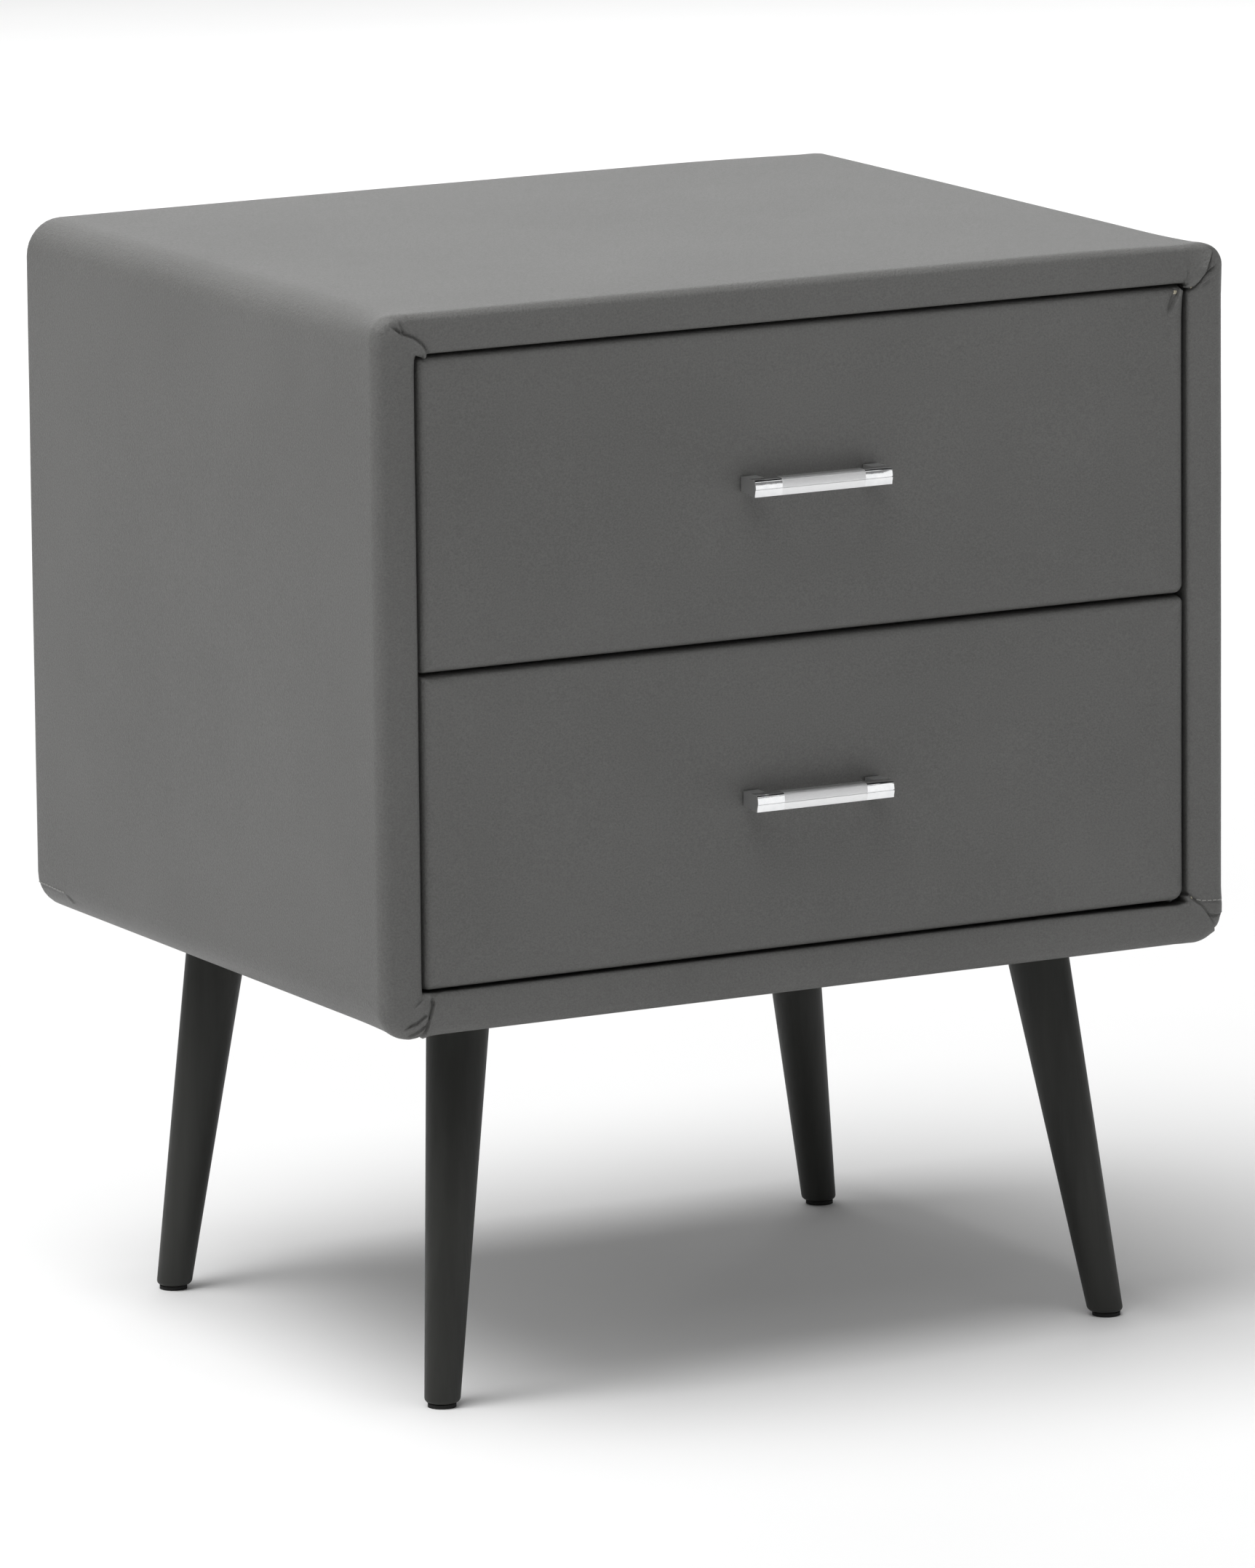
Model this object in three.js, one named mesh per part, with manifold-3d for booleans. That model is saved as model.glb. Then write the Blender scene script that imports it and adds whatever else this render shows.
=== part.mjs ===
// A two-drawer nightstand: a soft, leather-covered case on four splayed wooden legs.
// Millimetres, +Z up, the front faces -Y, and the origin is on the floor under the middle.
import * as THREE from 'three';
import { mergeVertices } from 'three/addons/utils/BufferGeometryUtils.js';
import Module from 'manifold-3d';

const wasm = await Module();
wasm.setup();

// ---- Driving dimensions ----------------------------------------------------

// The case, over its leather
const caseWidth = 500;
const caseDepth = 406;
const caseTop = 577;
const caseUnderside = 204;
const caseCorner = 20;        // radius where the top and bottom turn into the sides
const caseEdge = 6;           // radius of the front and back edges

// The layers of the case wall
const board = 16;
const leather = 1;
const foamSide = 4;
const foamTop = 2;
const foamUnder = 4;
const foamFront = 2;
const boardCorner = 15;       // the side boards' outer corners are rounded over
const boardEdge = 4;          // the boards' outer front and back edges are eased
const lining = 20;            // how far the leather turns into the opening
const backPanel = 3;
const backPanelInset = 12;
const backPanelCorner = 12;

// The drawer fronts
const sideGap = 3;
const topGap = 2.4;
const bottomGap = 2.4;
const middleGap = 2;
const frontBoard = 15;
const frontFoam = 3;
const frontCorner = 5;
const frontEdge = 3;
const frontTurnIn = 8;        // leather turned over onto the back of the front board

// The drawer boxes
const boxWall = 12;
const boxHeight = 115;
const boxDepth = 350;
const boxLift = 20;           // from the bottom of the front to the bottom of the box
const boxBottom = 5;
const grooveLift = 8;         // from the bottom of the box to its groove
const grooveDepth = 6;

// The ball-bearing slides
const slideThickness = 12.7;
const slideLength = 350;
const slideSheet = 1.2;
const slideHeight = 45;
const ballTrack = 2.8;        // room for the balls between one member and the next
const slideSetback = 2;       // from the back of the drawer front to the slides

// The handles
const handleLength = 81;
const handleHeight = 9;
const handleThickness = 7;
const handleReach = 16;
const handleFootWidth = 9;
const handleFootHeight = 8;
const handleRidge = 0.8;      // how far the bar's front stands out at its ridge line
const screwDiameter = 4;
const screwHeadDiameter = 8;
const screwHeadHeight = 2.4;
const screwGrip = 8;          // thread inside the handle's foot

// The legs
const legTopDiameter = 33;
const legFootDiameter = 18.5;
const legInsetSide = 78;      // from the case's side to the leg's axis at the underside
const legInsetEnd = 67;       // from the case's front or back to the same point
const leanSide = 7.6;         // degrees, outwards to the side
const leanFront = 7.9;        // degrees, towards the front, on the front legs
const leanBack = 2.6;         // degrees, towards the back, on the back legs
const plateSize = 58;
const plateThickness = 2;
const plateCorner = 10;
const bossDiameter = 20;
const boltDiameter = 8;
const boltInLeg = 30;
const boltInCase = 14;
const glideDiameter = 15;
const glideThickness = 2;

// Clearances
const seat = 0.3;             // between pieces that rest on each other
const boreClearance = 0.3;    // round a screw or bolt, on the radius
const plateClearance = 0.4;   // between a leg's highest rim point and its plate

// How finely the round shapes are divided
const cornerSteps = 4;
const edgeSteps = 2;
const roundSteps = 20;
const boreSteps = 12;
const overcut = 5;            // how far a cutting solid reaches past what it cuts

// ---- Places that follow from the sizes --------------------------------------

const wallSide = leather + foamSide + board;
const wallTop = leather + foamTop + board;
const wallUnder = leather + foamUnder + board;
const boardInnerX = caseWidth / 2 - wallSide;
const boardInnerTop = caseTop - wallTop;
const boardInnerBottom = caseUnderside + wallUnder;
const openingX = boardInnerX - leather;
const openingTop = boardInnerTop - leather;
const openingBottom = boardInnerBottom + leather;

const frontWidth = 2 * (openingX - sideGap);
const frontHeight = (openingTop - openingBottom - topGap - bottomGap - middleGap) / 2;
const frontThickness = leather + frontFoam + frontBoard + leather;
const boxX = boardInnerX - slideThickness;

const backFace = caseDepth + seat + backPanel;
const frontPlane = handleReach - (handleReach + backFace) / 2;

// ---- Materials ---------------------------------------------------------------

function finish(color, roughness, metalness) {
  return new THREE.MeshStandardMaterial({ color, roughness, metalness });
}

const finishes = {
  leather: finish(0x63635f, 0.42, 0),
  foam: finish(0xd8d2be, 0.95, 0),
  carcassBoard: finish(0x4a4a48, 0.6, 0),
  drawerBoard: finish(0x565653, 0.6, 0),
  hardboard: finish(0x2c2b29, 0.8, 0),
  legWood: finish(0x1c1c1a, 0.38, 0),
  chrome: finish(0xd9dadb, 0.12, 1),
  zincSteel: finish(0xb4b7ba, 0.35, 1),
  feltGlide: finish(0x1a1a1a, 0.95, 0),
};

// ---- Shape tools ---------------------------------------------------------------

// A closed geometry as a solid that can be joined and cut
function solidOf(geometry) {
  const bare = geometry.clone();
  bare.deleteAttribute('normal');
  bare.deleteAttribute('uv');
  const merged = mergeVertices(bare);
  return new wasm.Manifold(new wasm.Mesh({
    numProp: 3,
    vertProperties: new Float32Array(merged.attributes.position.array),
    triVerts: new Uint32Array(merged.index.array),
  }));
}

function geometryOf(solid) {
  const mesh = solid.getMesh();
  const geometry = new THREE.BufferGeometry();
  geometry.setAttribute('position', new THREE.BufferAttribute(mesh.vertProperties, 3));
  geometry.setIndex(new THREE.BufferAttribute(mesh.triVerts, 1));
  geometry.computeVertexNormals();
  return geometry;
}

// An upright outline with x across and z up, run along +Y from one depth to another
function alongY(shape, y0, y1, edge = 0) {
  const geometry = new THREE.ExtrudeGeometry(shape, {
    depth: y1 - y0 - 2 * edge,
    curveSegments: cornerSteps,
    bevelEnabled: edge > 0,
    bevelThickness: edge,
    bevelSize: edge,
    bevelOffset: -edge,
    bevelSegments: edgeSteps,
  });
  geometry.rotateX(Math.PI / 2);
  geometry.translate(0, y1 - edge, 0);
  return geometry;
}

// An outline with y across and z up, run along X and centred on x = 0
function alongX(shape, length) {
  const geometry = new THREE.ExtrudeGeometry(shape, { depth: length, bevelEnabled: false });
  geometry.translate(0, 0, -length / 2);
  geometry.rotateZ(Math.PI / 2);
  geometry.rotateY(Math.PI / 2);
  return geometry;
}

function roundedRectangle(halfWidth, bottom, top, radius) {
  const shape = new THREE.Shape();
  const inner = halfWidth - radius;
  shape.moveTo(-inner, bottom);
  shape.lineTo(inner, bottom);
  shape.absarc(inner, bottom + radius, radius, -Math.PI / 2, 0);
  shape.lineTo(halfWidth, top - radius);
  shape.absarc(inner, top - radius, radius, 0, Math.PI / 2);
  shape.lineTo(-inner, top);
  shape.absarc(-inner, top - radius, radius, Math.PI / 2, Math.PI);
  shape.lineTo(-halfWidth, bottom + radius);
  shape.absarc(-inner, bottom + radius, radius, Math.PI, 1.5 * Math.PI);
  return shape;
}

function outline(points) {
  return new THREE.Shape(points.map(([across, up]) => new THREE.Vector2(across, up)));
}

function block(x0, x1, y0, y1, z0, z1) {
  const geometry = new THREE.BoxGeometry(x1 - x0, y1 - y0, z1 - z0);
  geometry.translate((x0 + x1) / 2, (y0 + y1) / 2, (z0 + z1) / 2);
  return geometry;
}

// A turned piece about Z; the profile runs from its lowest to its highest point as [radius, z]
function turned(profile, steps = roundSteps) {
  const points = profile.map(([radius, z]) => new THREE.Vector2(radius, z));
  const geometry = new THREE.LatheGeometry(points, steps);
  geometry.rotateX(Math.PI / 2);
  return geometry;
}

function rod(radius, z0, z1, steps = boreSteps) {
  return turned([[0, z0], [radius, z0], [radius, z1], [0, z1]], steps);
}

function place(group, name, geometry, material) {
  const mesh = new THREE.Mesh(geometry, material.clone());
  mesh.name = name;
  group.add(mesh);
  return mesh;
}

// ---- Legs: where each axis runs -------------------------------------------------

const tangent = (degrees) => Math.tan(THREE.MathUtils.degToRad(degrees));

// Each leg's frame has its origin on the underside of the case and its Z up along the leg
function legFrame(side, end) {
  const lean = end < 0 ? leanFront : leanBack;
  const up = new THREE.Vector3(-side * tangent(leanSide), -end * tangent(lean), 1).normalize();
  const turn = new THREE.Quaternion().setFromUnitVectors(new THREE.Vector3(0, 0, 1), up);
  const x = side * (caseWidth / 2 - legInsetSide);
  const y = end < 0 ? legInsetEnd : caseDepth - legInsetEnd;
  const origin = new THREE.Vector3(x, y, caseUnderside);
  const matrix = new THREE.Matrix4().compose(origin, turn, new THREE.Vector3(1, 1, 1));
  return { up, turn, origin, matrix };
}

const legPlaces = [];
for (const [end, endName] of [[-1, 'front'], [1, 'back']]) {
  for (const [side, sideName] of [[-1, 'left'], [1, 'right']]) {
    legPlaces.push({ name: `${endName}_${sideName}`, ...legFrame(side, end) });
  }
}

// The holes that the four leg bolts need in whatever lies above the plates
function withBoltHoles(solid) {
  let cut = solid;
  for (const leg of legPlaces) {
    const reach = boltInCase + overcut;
    const hole = rod(boltDiameter / 2 + boreClearance, -overcut, reach);
    hole.applyMatrix4(leg.matrix);
    cut = cut.subtract(solidOf(hole));
  }
  return cut;
}

// ---- The case ---------------------------------------------------------------------

// The whole covered case as one block, with every outer face set in by the same amount
function caseBlock(inset) {
  const shape = roundedRectangle(
    caseWidth / 2 - inset,
    caseUnderside + inset,
    caseTop - inset,
    caseCorner - inset,
  );
  return solidOf(alongY(shape, inset, caseDepth - inset, caseEdge - inset));
}

// The opening for the drawers, grown on all four sides, between two depths
function openingBlock(grow, y0, y1) {
  const x = openingX + grow;
  return solidOf(block(-x, x, y0, y1, openingBottom - grow, openingTop + grow));
}

function leatherCover() {
  const core = caseBlock(leather).subtract(openingBlock(leather, -overcut, caseDepth + overcut));
  const cover = caseBlock(0)
    .subtract(openingBlock(0, -overcut, caseDepth + overcut))
    .subtract(core)
    .subtract(openingBlock(leather, lining, caseDepth + overcut));
  return geometryOf(withBoltHoles(cover));
}

// The boards' own outer shape as one block, with every face moved out by the same amount
function boardsBlock(grow) {
  const shape = roundedRectangle(
    caseWidth / 2 - leather - foamSide + grow,
    caseUnderside + leather + foamUnder - grow,
    caseTop - leather - foamTop + grow,
    boardCorner,
  );
  const y0 = leather + foamFront - grow;
  const y1 = caseDepth - leather - seat + grow;
  return solidOf(alongY(shape, y0, y1, boardEdge));
}

// The foam layer before it is cut into its four sheets
function foamLayer() {
  return caseBlock(leather + seat)
    .subtract(openingBlock(leather + seat, -overcut, caseDepth + overcut))
    .subtract(boardsBlock(seat));
}

function buildCase(group) {
  const foam = foamLayer();
  const farX = caseWidth / 2 + overcut;
  const farY = caseDepth + overcut;
  const sheet = (x0, x1, z0, z1) => foam.intersect(solidOf(block(x0, x1, -overcut, farY, z0, z1)));

  place(group, 'cover_leather', leatherCover(), finishes.leather);
  const betweenX = boardInnerX - seat;
  const foamOver = sheet(-betweenX, betweenX, boardInnerTop, caseTop);
  const foamBelow = withBoltHoles(sheet(-betweenX, betweenX, 0, boardInnerBottom));
  place(group, 'foam_top', geometryOf(foamOver), finishes.foam);
  place(group, 'foam_bottom', geometryOf(foamBelow), finishes.foam);
  place(group, 'foam_left', geometryOf(sheet(-farX, -boardInnerX, 0, caseTop)), finishes.foam);
  place(group, 'foam_right', geometryOf(sheet(boardInnerX, farX, 0, caseTop)), finishes.foam);

  const boards = boardsBlock(0);
  const cut = (x0, x1, z0, z1) => boards.intersect(solidOf(block(x0, x1, -overcut, farY, z0, z1)));
  const topBoard = cut(-betweenX, betweenX, boardInnerTop, caseTop);
  const bottomBoard = withBoltHoles(cut(-betweenX, betweenX, 0, boardInnerBottom));
  place(group, 'board_top', geometryOf(topBoard), finishes.carcassBoard);
  place(group, 'board_bottom', geometryOf(bottomBoard), finishes.carcassBoard);
  const leftBoard = cut(-farX, -boardInnerX, 0, caseTop);
  const rightBoard = cut(boardInnerX, farX, 0, caseTop);
  place(group, 'board_left', geometryOf(leftBoard), finishes.carcassBoard);
  place(group, 'board_right', geometryOf(rightBoard), finishes.carcassBoard);

  const panel = roundedRectangle(
    caseWidth / 2 - backPanelInset,
    caseUnderside + backPanelInset,
    caseTop - backPanelInset,
    backPanelCorner,
  );
  place(group, 'back_panel', alongY(panel, caseDepth + seat, backFace), finishes.hardboard);
}

// ---- Legs ---------------------------------------------------------------------------

function buildLeg(group, leg) {
  const lean = Math.acos(leg.up.z);
  const topRadius = legTopDiameter / 2;
  const footRadius = legFootDiameter / 2;
  const rimRise = topRadius * Math.sin(lean);
  const topDrop = (plateThickness + seat + plateClearance + rimRise) / Math.cos(lean);
  const toFloor = caseUnderside / Math.cos(lean);
  const pastFloor = toFloor + overcut;
  const taper = (topRadius - footRadius) / (toFloor - topDrop);

  const turnedGroup = new THREE.Group();
  turnedGroup.position.copy(leg.origin);
  turnedGroup.quaternion.copy(leg.turn);
  group.add(turnedGroup);

  const toLeg = leg.matrix.clone().invert();
  const below = block(-caseWidth, caseWidth, -caseWidth, caseDepth + caseWidth, -caseWidth,
    glideThickness + seat);
  const belowFoot = solidOf(below.applyMatrix4(toLeg));
  const boltHole = rod(boltDiameter / 2 + boreClearance, -topDrop - boltInLeg - seat, overcut);
  const spindle = turned([
    [0, -pastFloor],
    [footRadius - overcut * taper, -pastFloor],
    [topRadius, -topDrop],
    [0, -topDrop],
  ]);
  const legSolid = solidOf(spindle).subtract(solidOf(boltHole)).subtract(belowFoot);
  place(turnedGroup, `leg_${leg.name}`, geometryOf(legSolid), finishes.legWood);

  const bolt = rod(boltDiameter / 2, -topDrop - boltInLeg, boltInCase);
  place(turnedGroup, `leg_bolt_${leg.name}`, bolt, finishes.zincSteel);

  // The plate lies flat under the case; its boss leans with the leg
  const plateShape = roundedRectangle(plateSize / 2, -plateSize / 2, plateSize / 2, plateCorner);
  const flat = new THREE.ExtrudeGeometry(plateShape, {
    depth: plateThickness,
    curveSegments: cornerSteps,
    bevelEnabled: false,
  });
  flat.translate(0, 0, -plateThickness - seat);
  const leanOnly = new THREE.Matrix4().makeRotationFromQuaternion(leg.turn);
  const boss = rod(bossDiameter / 2, -topDrop + seat, 0, roundSteps).applyMatrix4(leanOnly);
  const half = plateSize / 2;
  const roomUnder = block(-half, half, -half, half, -caseUnderside, -seat);
  const passage = rod(boltDiameter / 2 + boreClearance, -topDrop - overcut, overcut);
  const plateSolid = solidOf(flat)
    .add(solidOf(boss).intersect(solidOf(roomUnder)))
    .subtract(solidOf(passage.applyMatrix4(leanOnly)));
  const plate = place(group, `leg_plate_${leg.name}`, geometryOf(plateSolid), finishes.zincSteel);
  plate.position.copy(leg.origin);

  const foot = leg.origin.clone().addScaledVector(leg.up, -toFloor);
  const glide = rod(glideDiameter / 2, 0, glideThickness, roundSteps);
  place(group, `leg_glide_${leg.name}`, glide, finishes.feltGlide).position.set(foot.x, foot.y, 0);
}

// ---- Slides -------------------------------------------------------------------------

// A folded steel channel standing on edge. Its web starts at x = webX and its two flanges
// reach in the direction of facing; mirrored for the left-hand side.
function channel(webX, facing, reach, height, side) {
  const half = height / 2;
  const tip = webX + facing * reach;
  const inside = webX + facing * slideSheet;
  const points = [
    [webX, -half], [tip, -half], [tip, -half + slideSheet], [inside, -half + slideSheet],
    [inside, half - slideSheet], [tip, half - slideSheet], [tip, half], [webX, half],
  ];
  return alongY(outline(points.map(([x, z]) => [side * x, z])), 0, slideLength);
}

const memberStep = 2 * (slideSheet + ballTrack);
const middleHeight = slideHeight - memberStep;
const innerHeight = middleHeight - memberStep;
const cabinetReach = 0.75 * slideThickness;
const innerReach = 0.45 * slideThickness;
const middleSetIn = slideSheet + 2;

function buildSlides(drawer, drawerName, slideZ) {
  const y = frontThickness + slideSetback;
  for (const [side, sideName] of [[-1, 'left'], [1, 'right']]) {
    const outerWeb = boardInnerX - seat;
    const middleWeb = outerWeb - middleSetIn;
    const innerWeb = boxX + seat;
    const members = [
      ['cabinet', channel(outerWeb, -1, cabinetReach, slideHeight, side)],
      ['middle', channel(middleWeb, -1, cabinetReach - middleSetIn, middleHeight, side)],
      ['drawer', channel(innerWeb, 1, innerReach, innerHeight, side)],
    ];
    for (const [member, geometry] of members) {
      const name = `${drawerName}_slide_${member}_${sideName}`;
      place(drawer, name, geometry, finishes.zincSteel).position.set(0, y, slideZ);
    }
  }
}

// ---- Drawers ------------------------------------------------------------------------

// The two places along X where a handle's feet and screws are
const handleFootX = (handleLength - handleFootWidth) / 2;

function withScrewHoles(solid) {
  let cut = solid;
  for (const side of [-1, 1]) {
    const hole = rod(screwDiameter / 2 + boreClearance, -overcut, frontThickness + overcut);
    hole.rotateX(-Math.PI / 2);
    hole.translate(side * handleFootX, 0, frontHeight / 2);
    cut = cut.subtract(solidOf(hole));
  }
  return cut;
}

function buildFront(drawer, drawerName) {
  const slab = (inset, y0, y1, edge) => {
    const corner = frontCorner - inset;
    const shape = roundedRectangle(frontWidth / 2 - inset, inset, frontHeight - inset, corner);
    return solidOf(alongY(shape, y0, y1, edge));
  };
  const windowX = frontWidth / 2 - frontTurnIn;
  const rearWindow = block(-windowX, windowX, frontThickness / 2, frontThickness + overcut,
    frontTurnIn, frontHeight - frontTurnIn);
  const skin = slab(0, 0, frontThickness, frontEdge)
    .subtract(slab(leather, leather, frontThickness - leather, frontEdge - leather))
    .subtract(solidOf(rearWindow));
  const within = leather + seat;
  const foamBack = leather + frontFoam;
  const foam = slab(within, within, foamBack + frontEdge, frontEdge - leather)
    .subtract(solidOf(block(-frontWidth, frontWidth, foamBack, 2 * frontThickness,
      -frontHeight, 2 * frontHeight)));
  const boardEase = frontEdge - leather;
  const boardPiece = slab(within, foamBack + seat, foamBack + frontBoard - seat, boardEase);
  const pieces = [
    ['front_leather', skin, finishes.leather],
    ['front_foam', foam, finishes.foam],
    ['front_board', boardPiece, finishes.drawerBoard],
  ];
  for (const [name, solid, material] of pieces) {
    place(drawer, `${drawerName}_${name}`, geometryOf(withScrewHoles(solid)), material);
  }
}

function buildBox(drawer, drawerName) {
  const y0 = frontThickness - leather + seat;
  const y1 = y0 + boxDepth;
  const low = boxLift;
  const high = boxLift + boxHeight;
  const grooveLow = low + grooveLift;
  const grooveHigh = grooveLow + boxBottom + 2 * seat;
  const innerX = boxX - boxWall;
  for (const [side, sideName] of [[-1, 'left'], [1, 'right']]) {
    const grooved = outline([
      [side * boxX, low], [side * boxX, high], [side * innerX, high],
      [side * innerX, grooveHigh], [side * (innerX + grooveDepth), grooveHigh],
      [side * (innerX + grooveDepth), grooveLow], [side * innerX, grooveLow],
      [side * innerX, low],
    ]);
    place(drawer, `${drawerName}_box_${sideName}`, alongY(grooved, y0, y1), finishes.drawerBoard);
  }
  const bottomX = innerX + grooveDepth - seat;
  const bottom = block(-bottomX, bottomX, y0, y1, grooveLow + seat, grooveHigh - seat);
  place(drawer, `${drawerName}_box_bottom`, bottom, finishes.drawerBoard);
  const backX = innerX - seat;
  const back = block(-backX, backX, y1 - boxWall, y1, grooveHigh, high);
  place(drawer, `${drawerName}_box_back`, back, finishes.drawerBoard);
}

function buildHandle(drawer, drawerName) {
  const handleGroup = new THREE.Group();
  handleGroup.position.set(0, 0, frontHeight / 2);
  drawer.add(handleGroup);

  const half = handleHeight / 2;
  const barBack = -(handleReach - handleThickness);
  const barFront = handleRidge - handleReach;
  const ridgeZ = -0.05 * handleHeight;
  const bar = solidOf(alongX(outline([
    [barBack, -half + handleRidge], [barBack, half], [barFront, half],
    [-handleReach, ridgeZ], [barFront, -half], [barBack - handleRidge, -half],
  ]), handleLength));
  let handle = bar;
  for (const side of [-1, 1]) {
    const x = side * handleFootX;
    const wide = handleFootWidth / 2;
    const foot = block(x - wide, x + wide, barBack - handleThickness / 2, -seat,
      half - handleFootHeight, half);
    handle = handle.add(solidOf(foot));
  }
  for (const side of [-1, 1]) {
    const bore = rod(screwDiameter / 2 + boreClearance, -screwGrip - seat, overcut);
    bore.rotateX(-Math.PI / 2);
    bore.translate(side * handleFootX, 0, 0);
    handle = handle.subtract(solidOf(bore));
  }
  place(handleGroup, `${drawerName}_handle`, geometryOf(handle), finishes.chrome);

  const headSeat = leather + frontFoam + frontBoard;
  for (const [side, sideName] of [[-1, 'left'], [1, 'right']]) {
    const shank = screwDiameter / 2;
    const head = screwHeadDiameter / 2;
    const screw = turned([
      [0, -screwGrip], [shank, -screwGrip], [shank, headSeat], [head, headSeat],
      [head, headSeat + screwHeadHeight / 2], [0, headSeat + screwHeadHeight],
    ], boreSteps);
    screw.rotateX(-Math.PI / 2);
    const name = `${drawerName}_handle_screw_${sideName}`;
    place(handleGroup, name, screw, finishes.zincSteel).position.x = side * handleFootX;
  }
}

// ---- The nightstand -------------------------------------------------------------------

const nightstand = new THREE.Group();
const body = new THREE.Group();
body.position.y = frontPlane;
nightstand.add(body);

buildCase(body);
for (const leg of legPlaces) {
  buildLeg(body, leg);
}

const lowerZ = openingBottom + bottomGap;
for (const [name, bottomZ] of [['lower', lowerZ], ['upper', lowerZ + frontHeight + middleGap]]) {
  const drawer = new THREE.Group();
  drawer.position.z = bottomZ;
  body.add(drawer);
  buildFront(drawer, name);
  buildBox(drawer, name);
  buildHandle(drawer, name);
  buildSlides(drawer, name, boxLift + boxHeight / 2);
}

export default nightstand;
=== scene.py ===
# %% [markdown]
# # A two-drawer nightstand in soft leather
# The nightstand is a wooden case under thin foam and leather, on four splayed black legs.
# Two padded drawer fronts fill its opening, each with a small plated bar handle.
# The hard parts arrive as a fixed frame. This lesson gives them finishes, and makes
# the leather, handles, legs and small fittings that the frame only roughs out.

import math

import bmesh
import bpy
import numpy as np
from mathutils import Euler, Matrix, Quaternion, Vector, noise


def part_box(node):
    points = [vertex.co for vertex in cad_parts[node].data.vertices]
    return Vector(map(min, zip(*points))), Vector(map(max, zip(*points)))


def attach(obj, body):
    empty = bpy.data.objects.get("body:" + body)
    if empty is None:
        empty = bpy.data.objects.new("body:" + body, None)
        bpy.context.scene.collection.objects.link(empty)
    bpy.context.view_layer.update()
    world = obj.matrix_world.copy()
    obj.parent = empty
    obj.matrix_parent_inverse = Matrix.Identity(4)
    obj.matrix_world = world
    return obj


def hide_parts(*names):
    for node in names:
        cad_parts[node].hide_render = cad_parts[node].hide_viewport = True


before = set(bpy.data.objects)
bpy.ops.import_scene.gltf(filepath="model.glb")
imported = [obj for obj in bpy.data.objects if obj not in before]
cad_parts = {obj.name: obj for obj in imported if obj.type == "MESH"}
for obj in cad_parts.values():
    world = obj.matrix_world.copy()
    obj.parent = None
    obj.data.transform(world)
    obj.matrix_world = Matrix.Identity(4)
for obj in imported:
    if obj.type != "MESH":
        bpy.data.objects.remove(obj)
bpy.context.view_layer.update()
MM = 0.001
cover_low, cover_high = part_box("cover_leather")
FRONT = cover_low.y
scene = bpy.context.scene

# %% [markdown]
# ## The camera
# A long lens from far away keeps the sides nearly parallel. The camera stands to the
# left of the nightstand and a little above it, and is turned by a yaw, a tilt and a
# very small roll. Three angles are easier to read than a matrix.

# %% Place the camera
EYE = Vector((-3.1286, -5.5615 + FRONT, 1.5532))
YAW, TILT, ROLL = 28.508, 10.988, 0.541
lens = bpy.data.cameras.new("studio_lens")
lens.lens, lens.sensor_width = 289.1, 36.0
lens.clip_start, lens.clip_end = 0.1, 120.0
camera = bpy.data.objects.new("studio_camera", lens)
scene.collection.objects.link(camera)
turn = Euler((math.radians(90 - TILT), 0, math.radians(-YAW))).to_quaternion()
camera.rotation_mode = "QUATERNION"
camera.rotation_quaternion = turn @ Quaternion((0, 0, 1), math.radians(-ROLL))
camera.location = EYE
scene.camera = camera
print("camera at", [round(v, 3) for v in EYE])

# %% [markdown]
# ## The room
# The floor is one very wide pale sheet, so that no edge of it is ever seen. An even
# white surround lights everything softly. A high soft sun brightens the top and grazes
# the front, where it picks out the folds. A large lamp far behind adds a sheen along the
# top, and one at the left brightens that side, so the front stays the darkest of the three.


# %% Light and floor
def panel_lamp(name, place, aim, width, height, watts):
    """A soft rectangular lamp that faces the point it is aimed at."""
    lamp = bpy.data.lights.new(name, "AREA")
    lamp.shape, lamp.size, lamp.size_y, lamp.energy = "RECTANGLE", width, height, watts
    holder = bpy.data.objects.new(name, lamp)
    scene.collection.objects.link(holder)
    holder.location = Vector(place)
    toward = Vector(aim) - Vector(place)
    holder.rotation_euler = toward.to_track_quat("-Z", "Y").to_euler()
    holder.visible_camera = False
    return holder


def high_sun(name, come_from, strength, softness):
    """A wide, even light from one direction, the same everywhere on the floor."""
    light = bpy.data.lights.new(name, "SUN")
    light.energy, light.angle = strength, math.radians(softness)
    holder = bpy.data.objects.new(name, light)
    scene.collection.objects.link(holder)
    holder.rotation_euler = (-Vector(come_from)).to_track_quat("-Z", "Y").to_euler()


surround = bpy.data.worlds.new("surround")
scene.world = surround
surround.use_nodes = True
surround.node_tree.nodes["Background"].inputs["Color"].default_value = (1, 1, 1, 1)
surround.node_tree.nodes["Background"].inputs["Strength"].default_value = 0.23
scene.view_settings.view_transform = "Standard"
MIDDLE = (0, 0, 0.4)
high_sun("high_light", (-0.3, 0.0, 1.0), 2.6, 45)
panel_lamp("near_front_lamp", (0.1, -0.75, 1.2), MIDDLE, 1.0, 0.4, 1.4)
panel_lamp("near_left_lamp", (-0.95, 0.0, 1.3), MIDDLE, 0.5, 1.0, 4.6)
panel_lamp("far_rear_lamp", (1.5, 4.5, 2.2), MIDDLE, 5.0, 2.6, 58)
shine = panel_lamp("shine_for_metal", (1.9, -3.9, 0.9), (0, -0.2, 0.42), 3.0, 1.0, 8)
shine.visible_diffuse = False

bpy.ops.mesh.primitive_plane_add(size=80, location=(0, 0, 0))
floor = bpy.context.object
floor.name = "studio_floor"
bpy.ops.mesh.primitive_plane_add(size=1, location=(1.4, -0.8, 3.0))
flag = bpy.context.object
flag.name, flag.scale = "black_flag", (4.0, 1.5, 1.0)
flag.visible_camera = flag.visible_diffuse = flag.visible_shadow = False

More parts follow.
